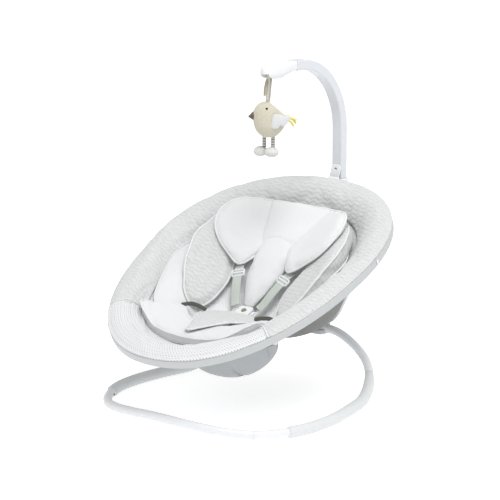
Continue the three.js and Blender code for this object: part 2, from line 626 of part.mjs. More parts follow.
function addToyArm() {
  const housing = block(33, 28, SOCKET_HEIGHT, 6).translate(0, ARM_Y, SOCKET_Z);
  const bore = block(SPIGOT.width + 1, SPIGOT.depth + 1, SOCKET_HEIGHT, SPIGOT.corner)
    .translate(0, ARM_Y, SPIGOT.foot - 0.5);
  const screwHole = new THREE.CylinderGeometry(2.3, 2.3, 8, 12).translate(0, ARM_Y - 12, SCREW_Z);
  const foot = new THREE.BoxGeometry(30, 46, 6).translate(0, RING_LENGTH / 2 - 7, -4.5);
  const heel = new THREE.BoxGeometry(30, 14, 24).translate(0, RING_LENGTH / 2 + 9, 5);
  const body = join(cut(uprightToRing(housing)), join(foot, heel));
  const socket = cut(body, uprightToRing(bore), uprightToRing(screwHole));
  add(seat, 'arm_socket', socket, LOOK.whitePlastic);

  const screw = new THREE.LatheGeometry([[0, 0], [2, 0], [2, 3.6], [3.8, 3.6], [3.8, 5.2], [0, 6]]
    .map(([x, y]) => new THREE.Vector2(x, y)), 12).rotateX(Math.PI);
  const placed = uprightToRing(screw.translate(0, ARM_Y - 10.8, SCREW_Z));
  add(seat, 'socket_screw', seal(placed), LOOK.steel);

  const path = new THREE.CurvePath();
  path.add(new THREE.LineCurve3(vec(0, ARM_Y, SOCKET_Z + SOCKET_HEIGHT + GAP), vec(0, ARM_Y, ARM_BEND_Z)));
  class Bend extends THREE.Curve {
    getPoint(t) {
      const a = (t * Math.PI) / 2;
      return vec(0, ARM_Y - ARM_REACH * (1 - Math.cos(a)), ARM_BEND_Z + ARM_RISE * Math.sin(a));
    }
  }
  path.add(new Bend());
  path.add(new THREE.LineCurve3(
    vec(0, ARM_Y - ARM_REACH, ARM_BEND_Z + ARM_RISE),
    vec(0, TIP_START + GAP, ARM_BEND_Z + ARM_RISE),
  ));
  const beam = new THREE.ExtrudeGeometry(roundedRect(ARM_DEPTH, ARM_WIDTH, ARM_CORNER), {
    steps: 18, extrudePath: path, curveSegments: 2, bevelEnabled: false,
  });
  const spigot = block(SPIGOT.width, SPIGOT.depth, 60, SPIGOT.corner).translate(0, ARM_Y, SPIGOT.foot);
  add(model, 'toy_arm', join(beam, spigot), LOOK.whiteTube);

  // The tip is a flattened oval: it swells from the arm's section and closes in a round nose.
  const tipPoint = (t, k) => {
    const y = THREE.MathUtils.lerp(TIP_START, TIP_END + 1, t);
    const round = Math.sqrt(Math.max(0.01, 1 - clamp01((t - 0.55) / 0.45) ** 2));
    const swell = 1 + 0.3 * smooth(0, 0.3, t);
    const a = 2 * Math.PI * k;
    return vec(
      (ARM_WIDTH / 2) * swell * round * power(Math.cos(a), 0.8),
      y,
      TIP_Z + (ARM_DEPTH / 2) * swell * (0.3 + 0.7 * round) * power(Math.sin(a), 0.8),
    );
  };
  const tip = gridBody(16, 16, tipPoint);
  const slot = new THREE.BoxGeometry(12, 26, 24).translate(0, HOOK.y, HOOK.z - 5);
  const crossBar = (radius, length) => new THREE.CylinderGeometry(radius, radius, length, 10)
    .rotateZ(Math.PI / 2).translate(0, HOOK.y, HOOK.z);
  add(model, 'arm_tip', cut(tip, slot, crossBar(2.3, 23)), LOOK.whitePlastic);
  add(model, 'toy_hook', seal(crossBar(1.9, 22)), LOOK.steel);
}

// ---- plush bird on its ribbon --------------------------------------------------------------------
const BIRD = vec(0, HOOK.y - 3, 598);
const RIBBON_DROP = 62;

function addBird() {
  const loop = new THREE.CatmullRomCurve3([
    [0, 3.6], [-3.6, 0], [-3.6, -18], [-2, 3 - RIBBON_DROP],
    [0, -RIBBON_DROP], [2, 3 - RIBBON_DROP], [3.6, -18], [3.6, 0],
  ].map(([y, z]) => vec(0, HOOK.y + y, HOOK.z + z)), true, 'centripetal');
  const sectionOf = [[-1, -1], [1, -1], [1, 1], [-1, 1]];
  const ribbonPoint = (t, k) => {
    const [u, v] = sectionOf[Math.round(k * 4) % 4];
    const along = loop.getTangentAt(t);
    const out = vec(0, -along.z, along.y);
    return loop.getPointAt(t).add(vec(u * 4, 0, 0)).addScaledVector(out, v * 0.6);
  };
  add(model, 'ribbon_loop', gridBody(28, 4, ribbonPoint, { loop: true }), LOOK.plush);

  const bird = new THREE.Group();     // x from beak to tail, z up
  bird.position.copy(BIRD);
  bird.rotation.z = THREE.MathUtils.degToRad(38);
  model.add(bird);

  // A round body whose top leans forward into the head, drawn out to a point at the tail.
  const bodyPoint = (t, k) => {
    const a = Math.PI * THREE.MathUtils.lerp(0.04, 0.96, t);
    const b = 2 * Math.PI * k;
    const z = -38 * Math.cos(a);
    const fat = 1 - 0.18 * smooth(0, 38, z);
    const point = 9 * Math.max(0, Math.cos(b)) ** 3 * Math.exp(-((z / 16) ** 2));
    return vec(
      point - 4 * smooth(-10, 38, z) + 30 * fat * Math.sin(a) * Math.cos(b),
      24 * fat * Math.sin(a) * Math.sin(b),
      z,
    );
  };
  add(bird, 'bird_body', gridBody(12, 16, bodyPoint), LOOK.plush);

  const beak = new THREE.ConeGeometry(7, 12, 10).rotateZ(Math.PI / 2).translate(-40.5, 0, 13);
  add(bird, 'bird_beak', seal(beak), LOOK.beak);
  for (const [side, sign] of SIDES) {
    const eye = new THREE.SphereGeometry(2.4, 10, 8).scale(1, 0.6, 1).translate(-7, sign * -17.2, 27.5);
    add(bird, `bird_${side}_eye`, seal(eye), LOOK.eye);
    const wing = new THREE.ExtrudeGeometry(new THREE.Shape()
      .moveTo(-6, 12).quadraticCurveTo(20, 16, 34, 6).quadraticCurveTo(24, -6, 14, -14)
      .quadraticCurveTo(-4, -12, -6, 12), { depth: 2.4, curveSegments: 5, bevelEnabled: false })
      .rotateX(Math.PI / 2).translate(6, sign * -26.2 + 1.2, 0);
    add(bird, `bird_${side}_wing`, seal(wing), LOOK.felt);
    const legX = side === 'left' ? -10 : 8.5;
    const leg = new THREE.CylinderGeometry(3.4, 3.4, 12.4, 10).rotateX(Math.PI / 2);
    add(bird, `bird_${side}_leg`, seal(leg.translate(legX, sign * 4, -45.6)), LOOK.felt);
    const footX = side === 'left' ? -17 : 6.5;
    const foot = new THREE.SphereGeometry(11.5, 12, 8).scale(1, 0.75, 0.95);
    add(bird, `bird_${side}_foot`, seal(foot.translate(footX, sign * 6, -63.6)), LOOK.felt);
  }
  const tail = new THREE.ExtrudeGeometry(new THREE.Shape()
    .moveTo(0, 3).lineTo(22, 10).lineTo(18, 2).lineTo(22, -5).lineTo(0, -4).lineTo(0, 3),
  { depth: 2, bevelEnabled: false }).rotateX(Math.PI / 2).translate(41, 1, 1);
  add(bird, 'bird_tail', seal(tail), LOOK.yellow);
}

addBase();
addHub();
addRing();
addHammock();
addCradle();
addInsert();
addHarness();
addToyArm();
addBird();

export default model;
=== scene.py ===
"""Bouncer seat: the visual model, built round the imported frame.

Metres, +Z up, -Y towards the baby's feet, +X to its left. Ring places are across the ring, along
it and out of its plane; ring() turns them into world places.
"""
import math

import bmesh
import bpy
import numpy as np
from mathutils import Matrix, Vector
from mathutils.bvhtree import BVHTree


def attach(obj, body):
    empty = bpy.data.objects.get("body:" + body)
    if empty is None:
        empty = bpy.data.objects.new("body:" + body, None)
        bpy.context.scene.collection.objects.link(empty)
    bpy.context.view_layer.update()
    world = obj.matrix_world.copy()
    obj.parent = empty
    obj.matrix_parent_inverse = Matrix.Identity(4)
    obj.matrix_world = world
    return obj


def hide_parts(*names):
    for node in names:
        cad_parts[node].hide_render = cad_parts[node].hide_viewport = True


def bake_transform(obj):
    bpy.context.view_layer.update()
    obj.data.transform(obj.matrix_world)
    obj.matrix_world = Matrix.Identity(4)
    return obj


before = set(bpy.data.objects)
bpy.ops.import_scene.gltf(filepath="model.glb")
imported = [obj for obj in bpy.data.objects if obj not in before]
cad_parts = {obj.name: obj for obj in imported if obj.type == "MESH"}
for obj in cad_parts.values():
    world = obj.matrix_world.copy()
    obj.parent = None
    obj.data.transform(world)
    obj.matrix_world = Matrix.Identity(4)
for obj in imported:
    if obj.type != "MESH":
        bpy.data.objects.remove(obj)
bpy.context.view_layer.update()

# ---- driving dimensions, the same as the frame's -----------------------------------------------
SHIFT = np.array([0.0, -0.01654, 0.0])   # the ring's middle, from the frame's origin
RING_WIDTH, RING_LENGTH = 0.560, 0.685
RING_EGG, RING_SQUARENESS = 0.12, 2.23
RING_TILT = math.radians(23.7)
RING_HEIGHT = 0.282
BAND_HEIGHT = 0.017
LIP_INSET, LIP_LEVEL = 0.080, -0.012
WELL_DEPTH, BACK_DEPTH = 0.125, 0.045
FOOT_PANEL_HALF_ANGLE = 0.94
CRADLE_AT, RIVET_AT = 0.066, 0.041
RAIL_RADIUS, RAIL_FLOOR_Z = 0.0095, 0.0115
FRONT_RISE, FRONT_RISE_END = 0.0195, 0.255
HUB_RISE, HUB_RISE_START, HUB_RISE_LENGTH = 0.106, 0.545, 0.270
SLEEVE_RADIUS, SLEEVE_START, SLEEVE_END, FLEX_AT = 0.0121, 0.290, 0.655, 0.663
RIGHT_JOINT_AT, LEFT_JOINT_AT = -0.283, 0.215
ARM_Y, ARM_BEND_Z, ARM_REACH, ARM_RISE = 0.340, 0.545, 0.162, 0.165
ARM_WIDTH, ARM_DEPTH = 0.027, 0.022
HOOK = np.array([0.0, 0.084, 0.701])
BIRD = np.array([0.0, 0.081, 0.6030])
BIRD_TURN = math.radians(38)
BUCKLE = np.array([0.0, -0.039, -0.078])
PI2 = 2 * math.pi
CAMERA_AZIMUTH, CAMERA_ELEVATION = math.radians(38), math.radians(13)
CAMERA_DISTANCE, CAMERA_LENS, CAMERA_TARGET = 5.0, 168.6, (0.0117, SHIFT[1], 0.3332)
WORLD_LIGHT, FLOOR_GLOW = 0.74, 0.52
LAMPS = [  # name, place, watts, width
    ("key", (1.2, -0.6, 3.6), 91, 1.8), ("fill", (3.2, -2.6, 1.4), 6, 2.0)]


# ---- camera ------------------------------------------------------------------------------------
def add_camera():
    azimuth, elevation = CAMERA_AZIMUTH, CAMERA_ELEVATION
    back = Vector((math.sin(azimuth) * math.cos(elevation),
                   -math.cos(azimuth) * math.cos(elevation),
                   math.sin(elevation)))
    data = bpy.data.cameras.new("camera")
    data.lens = CAMERA_LENS
    data.sensor_width = 36
    camera = bpy.data.objects.new("camera", data)
    camera.location = Vector(CAMERA_TARGET) + back * CAMERA_DISTANCE
    camera.rotation_mode = "QUATERNION"
    camera.rotation_quaternion = (-back).to_track_quat("-Z", "Y")
    bpy.context.scene.collection.objects.link(camera)
    bpy.context.scene.camera = camera


add_camera()


# ---- number helpers ----------------------------------------------------------------------------
def smooth(start, end, value):
    t = np.clip((np.asarray(value, float) - start) / (end - start), 0, 1)
    return t * t * (3 - 2 * t)


def power(value, exponent):
    return np.sign(value) * np.abs(value) ** exponent


def unit(vectors):
    return vectors / np.maximum(np.linalg.norm(vectors, axis=-1, keepdims=True), 1e-12)


def run_length(points):
    """How far along a path each of its points is."""
    return np.concatenate([[0], np.cumsum(np.linalg.norm(np.diff(points, axis=0), axis=1))])


def spline(points, count, closed=False):
    """Evenly spaced points on a centripetal Catmull-Rom curve through the given ones."""
    p = np.array(points, float)
    n = len(p)
    if closed:
        p = np.vstack([p[-1:], p, p[:2]])
    else:
        p = np.vstack([2 * p[0] - p[1], p, 2 * p[-1] - p[-2]])
    fine = []
    for i in range(n if closed else n - 1):
        p0, p1, p2, p3 = p[i:i + 4]
        d0, d1, d2 = (max(np.linalg.norm(b - a), 1e-9) ** 0.5 for a,
                      b in ((p0, p1), (p1, p2), (p2, p3)))
        m1 = ((p1 - p0) / d0 - (p2 - p0) / (d0 + d1) + (p2 - p1) / d1) * d1
        m2 = ((p2 - p1) / d1 - (p3 - p1) / (d1 + d2) + (p3 - p2) / d2) * d1
        t = np.linspace(0, 1, 48, endpoint=False)[:, None]
        fine.append((2 * t**3 - 3 * t**2 + 1) * p1 + (t**3 - 2 * t**2 + t) * m1
                    + (3 * t**2 - 2 * t**3) * p2 + (t**3 - t**2) * m2)
    fine = np.vstack(fine + [p[1:2] if closed else p[-2:-1]])
    length = run_length(fine)
    at = np.linspace(0, length[-1], count, endpoint=not closed)
    return np.stack([np.interp(at, length, fine[:, k]) for k in range(fine.shape[1])], axis=1)


def ring(points):
    """World places of points given across the ring, along it and out of its plane."""
    p = np.asarray(points, float)
    c, s = math.cos(RING_TILT), math.sin(RING_TILT)
    x, v, w = p[..., 0], p[..., 1], p[..., 2]
    return np.stack([x, v * c - w * s, v * s + w * c + RING_HEIGHT], axis=-1) + SHIFT


def to_ring(points):
    p = np.asarray(points, float) - SHIFT
    c, s = math.cos(RING_TILT), math.sin(RING_TILT)
    x, y, z = p[..., 0], p[..., 1], p[..., 2] - RING_HEIGHT
    return np.stack([x, y * c + z * s, z * c - y * s], axis=-1)


RING_OUT = ring([0, 0, 1]) - ring([0, 0, 0])


# ---- the ring's outline and the seat well ------------------------------------------------------
def egg(angle, inset=0.0):
    c = power(np.cos(angle), 2 / RING_SQUARENESS)
    s = power(np.sin(angle), 2 / RING_SQUARENESS)
    x = (RING_WIDTH / 2 - inset) * c * (1 + RING_EGG * s)
    return np.stack([x, (RING_LENGTH / 2 - inset) * s], axis=-1)


def egg_radius(x, y, inset):
    s = y / (RING_LENGTH / 2 - inset)
    c = x / ((RING_WIDTH / 2 - inset) * (1 + RING_EGG * np.clip(s, -1, 1)))
    return (np.abs(c) ** RING_SQUARENESS + np.abs(s) ** RING_SQUARENESS) ** (1 / RING_SQUARENESS)


def well_level(x, y):
    depth = WELL_DEPTH + (BACK_DEPTH - WELL_DEPTH) * smooth(-0.050, 0.160, y)
    return LIP_LEVEL - depth * (1 - np.minimum(1, egg_radius(x, y, LIP_INSET)) ** 2.6)


def inset_of(x, y):
    near, far = np.zeros_like(x), np.full_like(x, RING_WIDTH / 2 - 0.001)
    for _ in range(18):
        inset = (near + far) / 2
        inside = egg_radius(x, y, inset) < 1
        near, far = np.where(inside, inset, near), np.where(inside, far, inset)
    return near


SLOPE = np.array([[0.011, 0.0305], [0.022, 0.0325], [0.036, 0.030], [0.052, 0.020], [0.066, 0.006],
                  [0.078, -0.009]])


def support_level(x, y):
    """Height of what lies under the insert: the hammock, and the rim's inner slope."""
    inset = inset_of(np.asarray(x, float), np.asarray(y, float))
    return np.where(inset > SLOPE[-1, 0], well_level(x, y),
                    np.interp(inset, SLOPE[:, 0], SLOPE[:, 1]))


# ---- meshes ------------------------------------------------------------------------------------
def new_object(name, vertices, faces, look=None, smooth_shading=True):
    mesh = bpy.data.meshes.new(name)
    mesh.from_pydata([tuple(map(float, v)) for v in vertices], [],
                     [tuple(map(int, f)) for f in faces])
    mesh.validate()
    bm = bmesh.new()
    bm.from_mesh(mesh)
    bmesh.ops.remove_doubles(bm, verts=bm.verts, dist=1e-6)
    bmesh.ops.recalc_face_normals(bm, faces=bm.faces)
    bm.to_mesh(mesh)
    bm.free()
    mesh.polygons.foreach_set("use_smooth", [smooth_shading] * len(mesh.polygons))
    obj = bpy.data.objects.new(name, mesh)
    bpy.context.scene.collection.objects.link(obj)
    if look:
        mesh.materials.append(look)
    return obj


def grid(rows, loop=False, around=True, caps=True):
    """Faces over points (row, column, 3). Columns close on themselves if around is set."""
    n, m = rows.shape[:2]
    faces = []
    for i in range(n if loop else n - 1):
        for k in range(m if around else m - 1):
            a, b = i * m + k, i * m + (k + 1) % m
            c, d = ((i + 1) % n) * m + (k + 1) % m, ((i + 1) % n) * m + k
            faces.append((a, b, c, d))
    if caps and not loop and around:
        faces.append(tuple(range(m)))
        faces.append(tuple((n - 1) * m + k for k in reversed(range(m))))
    return rows.reshape(-1, 3), faces


def sweep(path, section, loop=False, reference=None, scale=None):
    """Rows of a section (side, up) carried along a path; the reference keeps it upright."""
    path = np.asarray(path, float)
    if loop:
        tangent = unit(np.roll(path, -1, axis=0) - np.roll(path, 1, axis=0))
    else:
        tangent = unit(np.gradient(path, axis=0))
    if reference is None:
        side = np.cross(tangent[0], [0, 0, 1.0])
        if np.linalg.norm(side) < 0.2:
            side = np.cross(tangent[0], [0, 1.0, 0])
        sides = [unit(side)]
        for t in tangent[1:]:
            sides.append(unit(sides[-1] - t * (sides[-1] @ t)))
        side = np.array(sides)
    else:
        side = unit(np.cross(tangent, np.asarray(reference, float)))
    up = np.cross(side, tangent)
    section = np.asarray(section, float)
    scale = np.ones(len(path)) if scale is None else np.asarray(scale)
    return (path[:, None] + scale[:, None, None]
            * (side[:, None] * section[None, :, :1] + up[:, None] * section[None, :, 1:]))


def circle(radius, sides=24):
    a = np.arange(sides) * PI2 / sides
    return np.stack([radius * np.cos(a), radius * np.sin(a)], axis=1)


def rounded(width, height, radius, per_corner=6):
    out = []
    for i, (sx, sy) in enumerate(((1, 1), (-1, 1), (-1, -1), (1, -1))):
        a = np.linspace(i * math.pi / 2, (i + 1) * math.pi / 2, per_corner)
        out.append(np.stack([sx * (width / 2 - radius) + radius * np.cos(a),
                             sy * (height / 2 - radius) + radius * np.sin(a)], axis=1))
    return np.vstack(out)


def rod(name, path, radius, look, sides=20, loop=False, round_ends=False):
    """A round bar; round_ends closes it with small domes."""
    scale = np.ones(len(path))
    if round_ends:
        ease = np.minimum(np.arange(len(path)), np.arange(len(path))[::-1]) / 3
        scale = np.sqrt(np.clip(1 - (1 - np.clip(ease, 0, 1)) ** 2, 0.02, 1))
    return new_object(name,
                      *grid(sweep(path, circle(radius, sides), loop=loop, scale=scale), loop=loop),
                      look)


def lathe(name, profile, at, axis, look, steps=32):
    """A turned piece: profile is (radius, height along the axis)."""
    axis = unit(np.asarray(axis, float))
    side = unit(np.cross(axis, [0, 0, 1.0] if abs(axis[2]) < 0.9 else [1.0, 0, 0]))
    other = np.cross(axis, side)
    a = np.arange(steps) * PI2 / steps
    spokes = np.cos(a)[:, None] * side + np.sin(a)[:, None] * other
    rows = np.array([np.asarray(at) + axis * rise + radius * spokes for radius, rise in profile])
    return new_object(name, *grid(rows), look)


def set_cloth(obj, coordinates):
    """Where each point lies on the flat cloth, in metres, for the weave and pattern."""
    known = obj.data.attributes.get("cloth")
    attribute = known or obj.data.attributes.new("cloth", "FLOAT_VECTOR", "POINT")
    attribute.data.foreach_set("vector", np.asarray(coordinates, np.float32).ravel())


def set_flat_cloth(obj, across, along):
    set_cloth(obj, np.column_stack([across, along, np.zeros(len(across))]))


def shade_smooth(obj):
    obj.data.polygons.foreach_set("use_smooth", [True] * len(obj.data.polygons))


def points_of(obj):
    co = np.zeros(len(obj.data.vertices) * 3)
    obj.data.vertices.foreach_get("co", co)
    return co.reshape(-1, 3)


def set_points(obj, co):
    obj.data.vertices.foreach_set("co", np.asarray(co, np.float32).ravel())
    obj.data.update()


def modified(obj, kind, **settings):
    modifier = obj.modifiers.new(kind.lower(), kind)
    for key, value in settings.items():
        setattr(modifier, key, value)
    return modifier


def apply_modifiers(obj):
    bpy.context.view_layer.update()
    evaluated = obj.evaluated_get(bpy.context.evaluated_depsgraph_get())
    mesh = bpy.data.meshes.new_from_object(evaluated)
    obj.modifiers.clear()
    obj.data = mesh


def finish_piece(obj, body, replaces=(), slot=None):
    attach(obj, body)
    if replaces:
        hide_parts(*replaces)
    return obj


# ---- materials ---------------------------------------------------------------------------------
class Value:
    """A number or vector in a material's tree. Arithmetic on it adds the nodes."""

    def __init__(self, look, socket):
        self.look, self.socket = look, socket

    def __add__(self, other):
        return self.look.math("ADD", self, other)

    def __sub__(self, other):
        return self.look.math("SUBTRACT", self, other)

    def __rsub__(self, other):
        return self.look.math("SUBTRACT", other, self)

    def __mul__(self, other):
        return self.look.math("MULTIPLY", self, other)

    def __truediv__(self, other):
        return self.look.math("DIVIDE", self, other)


class Look:
    """A procedural material. Its calls add one node each and return the output to link on."""

    def __init__(self, name, color, roughness, **inputs):
        self.material = bpy.data.materials.new(name)
        self.material.use_nodes = True
        self.tree = self.material.node_tree
        self.shader = self.tree.nodes["Principled BSDF"]
        for key, value in {"Base_Color": (*color, 1), "Roughness": roughness, **inputs}.items():
            self.shader.inputs[key.replace("_", " ")].default_value = value

    def node(self, kind, inputs=(), output=0, **settings):
        node = self.tree.nodes.new(kind)
        for key, value in settings.items():
            setattr(node, key, value)
        for key, value in dict(inputs).items():
            self.plug(node.inputs[key], value)
        return Value(self, node.outputs[output])

    def plug(self, socket, value):
        if isinstance(value, Value):
            self.tree.links.new(value.socket, socket)
        else:
            socket.default_value = value

    def cloth(self):
        """Places on the flat cloth, as set_cloth gives them."""
        return self.node("ShaderNodeAttribute", output="Vector", attribute_name="cloth")

    def place(self):
        return self.node("ShaderNodeTexCoord", output="Object")

    def parts(self, vector):
        split = self.node("ShaderNodeSeparateXYZ", {0: vector})
        return [Value(self, output) for output in split.socket.node.outputs]

    def math(self, operation, a, b=0.0):
        return self.node("ShaderNodeMath", {0: a, 1: b}, operation=operation)

    def wave(self, value, pitch):
        return self.math("SINE", value * (PI2 / pitch))

    def noise(self, vector, scale, detail=2.0, roughness=0.5):
        return self.node("ShaderNodeTexNoise", {"Vector": vector, "Scale": scale, "Detail": detail,
                                                "Roughness": roughness})

    def stretch(self, vector, factors):
        return self.node("ShaderNodeVectorMath", {0: vector, 1: factors}, operation="MULTIPLY")

    def between(self, value, low, high, out_low=0.0, out_high=1.0):
        """Eases from out_low to out_high while the value goes from low to high."""
        return self.node("ShaderNodeMapRange", {"Value": value, "From Min": low, "From Max": high,
                                                "To Min": out_low, "To Max": out_high},
                         interpolation_type="SMOOTHSTEP")

    def blend(self, factor, a, b):
        first, second = ((*c, 1) if isinstance(c, tuple) else c for c in (a, b))
        return self.node("ShaderNodeMix", {0: factor, 6: first, 7: second}, 2, data_type="RGBA")

    def bump(self, height, distance, strength=1.0, normal=None):
        inputs = {"Height": height, "Distance": distance, "Strength": strength}
        if normal is not None:
            inputs["Normal"] = normal
        return self.node("ShaderNodeBump", inputs)

    def done(self, color=None, normal=None, roughness=None):
        for key, value in (("Base Color", color), ("Normal", normal), ("Roughness", roughness)):
            if value is not None:
                self.plug(self.shader.inputs[key], value)
        return self.material


def shade(color, factor):
    return tuple(c * factor for c in color)


def wave_knit(name, color):
    """Quilted knit: soft wavy rows across the seat, each closed by a fine dark line."""
    row, period, swing = 0.0108, 0.0240, 0.0030
    look = Look(name, color, 0.95, Sheen_Weight=0.2, Sheen_Roughness=0.6)
    cloth = look.cloth()
    x, y, _ = look.parts(cloth)
    drift = look.noise(cloth, 14, 1.0) * 0.012
    warped = x + look.noise(cloth, 30, 0.0) * 0.010
    zigzag = look.math("PINGPONG", warped, period / 2) * (2 * swing / (period / 2))
    off = look.math("ABSOLUTE", look.math("FRACT", (y + zigzag + drift) / row) - 0.5)
    line = look.between(off, 0.42, 0.5)
    faint = look.between(look.noise(cloth, 34, 2.0), 0.38, 0.60, 0.12, 1.0)
    puff = 1.0 - look.math("POWER", off * 2.0, 3.0)
    stitches = look.noise(look.stretch(cloth, (1.0, 1.9, 1.0)), 620, 2.0)
    heather = look.noise(look.stretch(cloth, (60.0, 420.0, 1.0)), 1.0, 3.0, 0.6)
    base = look.blend(look.between(heather, 0.36, 0.64), shade(color, 0.93), shade(color, 1.05))
    tone = look.blend(line * faint * 0.40, base, shade(color, 0.50))
    soft_rows = look.bump(puff, 0.0011, 0.7)
    return look.done(tone, look.bump(stitches, 0.0004, 0.4, soft_rows))


def air_mesh(name, color, column=0.0064, row=0.0052, radius=0.0009, depth=0.62):
    """White spacer mesh with staggered rows of small holes, each hole painted dark grey as painted
    shade.
    """
    look = Look(name, color, 0.85, Sheen_Weight=0.15)
    cloth = look.cloth()
    x, y, _ = look.parts(cloth)
    down = y / row
    odd = look.math("FLOORED_MODULO", look.math("FLOOR", down), 2.0) * 0.5
    dx = (look.math("FRACT", x / column + odd) - 0.5) * column
    dy = (look.math("FRACT", down) - 0.5) * row
    hole = look.between(look.math("SQRT", dx * dx + dy * dy), radius, radius * 1.6, 1.0, 0.0)
    # painted shade: each hole is coloured dark grey for the shade inside it
    tone = look.blend(hole * depth, color, (0.22, 0.23, 0.24))
    soft = look.bump(1.0 - hole, 0.0012, 0.8)
    return look.done(tone, look.bump(look.noise(cloth, 900, 2.0), 0.0003, 0.4, soft))


def jersey(name, color, rough=0.9, pucker=0.35):
    """Plain soft cloth: fine knitted columns, slight mottling and shallow creases."""
    look = Look(name, color, rough, Sheen_Weight=0.2, Sheen_Roughness=0.5)
    cloth = look.cloth()
    x, y, _ = look.parts(cloth)
    knit = look.wave(x, 0.0011) * look.wave(y, 0.0014)
    mottle = look.between(look.noise(cloth, 300, 3.0), 0.3, 0.7)
    tone = look.blend(mottle, shade(color, 0.975), shade(color, 1.01))
    creases = look.bump(look.noise(cloth, 18, 2.0, 0.5), 0.003, pucker)
    return look.done(tone, look.bump(knit, 0.00018, 0.5, creases))


def ribbed_cloth(name, color):
    """Coarse ribbed cloth whose ribs run level round the pocket, with painted shade darkening each
    rib's trough.
    """
    look = Look(name, color, 0.88, Sheen_Weight=0.1)
    cloth = look.cloth()
    x, y, _ = look.parts(cloth)
    rib, cross = look.wave(y, 0.0052), look.wave(x, 0.0021)
    # painted shade: darker in each rib's trough, following the ribs' relief
    tone = look.blend(look.between(rib, -1.0, 0.4), shade(color, 0.66), shade(color, 1.1))
    coarse = look.bump(rib, 0.0009, 0.8)
    return look.done(tone, look.bump(cross + look.noise(cloth, 700), 0.0002, 0.4, coarse))


def webbing_look(name, color):
    """Woven strap: ribs along its length crossed by fine picks, darker along both edges."""
    look = Look(name, color, 0.7, Sheen_Weight=0.1)
    x, y, _ = look.parts(look.cloth())
    weave = look.wave(x, 0.0019) + look.wave(y, 0.0013) * 0.6
    edge = look.between(look.math("ABSOLUTE", x), 0.0085, 0.0098)
    return look.done(look.blend(edge * 0.35, color, shade(color, 0.7)),
                     look.bump(weave, 0.0003, 0.6))


def moulded(name, color, rough, grain=0.35, scale=900, **inputs):
    """Moulded or coated surface: a faint grain and slightly uneven gloss."""
    look = Look(name, color, rough, **inputs)
    place = look.place()
    uneven = look.between(look.noise(place, 90, 3.0), 0.3, 0.7, rough * 0.92, min(1.0, rough * 1.1))
    cloudy = look.between(look.noise(place, 120, 2.0), 0.35, 0.65)
    tone = look.blend(cloudy, shade(color, 0.99), shade(color, 1.01))
    return look.done(tone, look.bump(look.noise(place, scale, 2.0), 0.0003, grain), uneven)


def plush(name, color, pile=0.0011, scale=420):
    """Short-pile plush or felt."""
    look = Look(name, color, 1.0, Sheen_Weight=0.5, Sheen_Roughness=0.4)
    place = look.place()
    patches = look.between(look.noise(place, 330, 4.0), 0.3, 0.7)
    tone = look.blend(patches, shade(color, 0.93), shade(color, 1.05))
    return look.done(tone, look.bump(look.noise(place, scale, 4.0, 0.65), pile, 0.8))


def banded(name, color, dark, pitch):
    """Striped leg cloth."""
    look = Look(name, color, 1.0, Sheen_Weight=0.3)
    place = look.place()
    stripe = look.between(look.wave(look.parts(place)[2], pitch), -0.2, 0.2)
    return look.done(look.blend(stripe, color, dark),
                     look.bump(look.noise(place, 500, 3.0), 0.0007, 0.7))


KNIT = wave_knit("wave_knit", (0.56, 0.572, 0.570))
MESH = air_mesh("air_mesh", (0.665, 0.672, 0.685))
INSERT = jersey("insert_jersey", (0.675, 0.685, 0.690))
# painted light: the seat's mesh panel is coloured brighter than the insert to offset the shade that
# falls in the seat
BASE = air_mesh("insert_mesh", (0.80, 0.81, 0.815), 0.0042, 0.0036, 0.0005, 0.30)
PIPING = jersey("piping_cloth", (0.70, 0.705, 0.71), 0.8, 0.1)
BAG = jersey("bag_cloth", (0.375, 0.392, 0.405), 0.85, 0.5)
DOME = ribbed_cloth("dome_cloth", (0.225, 0.230, 0.222))
WEBBING = webbing_look("webbing", (0.50, 0.545, 0.505))
# painted shade: a near-black strip laid along each leg opening for the dark gap there
LEG_GAP_SHADE = webbing_look("leg_opening_shade", (0.085, 0.090, 0.075))
COAT = moulded("powder_coat", (0.68, 0.692, 0.71), 0.42, 0.12, 1500, Coat_Weight=0.15)
ARM = moulded("arm_plastic", (0.585, 0.603, 0.63), 0.36, 0.1, 1400)
RUBBER = moulded("grip_rubber", (0.61, 0.627, 0.630), 0.62, 0.3, 1100)
WHITE = moulded("white_plastic", (0.69, 0.695, 0.705), 0.36, 0.1, 1300)
GREY = moulded("grey_plastic", (0.45, 0.464, 0.47), 0.45, 0.15, 1200)
BUTTON = moulded("button_plastic", (0.20, 0.19, 0.13), 0.5)
STEEL = moulded("steel", (0.10, 0.105, 0.11), 0.45, 0.2, 700, Metallic=0.5)
CREAM = plush("cream_plush", (0.51, 0.487, 0.39), 0.0007)
RIBBON = jersey("ribbon", (0.55, 0.54, 0.47), 0.8, 0.2)
RIBBON_EDGE = jersey("ribbon_tail", (0.36, 0.31, 0.22), 0.8, 0.2)
FELT = plush("grey_felt", (0.60, 0.605, 0.61), 0.0006, 600)
FLEECE = plush("white_fleece", (0.64, 0.64, 0.62), 0.0014, 420)
BEAK = plush("beak_felt", (0.115, 0.092, 0.070), 0.0005, 700)
YELLOW = plush("yellow_cord", (0.66, 0.60, 0.13), 0.0005, 900)
LEG = banded("leg_stripes", (0.50, 0.49, 0.44), (0.17, 0.165, 0.15), 0.0056)
EYE = moulded("eye_bead", (0.010, 0.008, 0.008), 0.12, 0.02)


# ---- cloth simulation --------------------------------------------------------------------------
SIMULATED = []
CLOTH_STEPS = 20


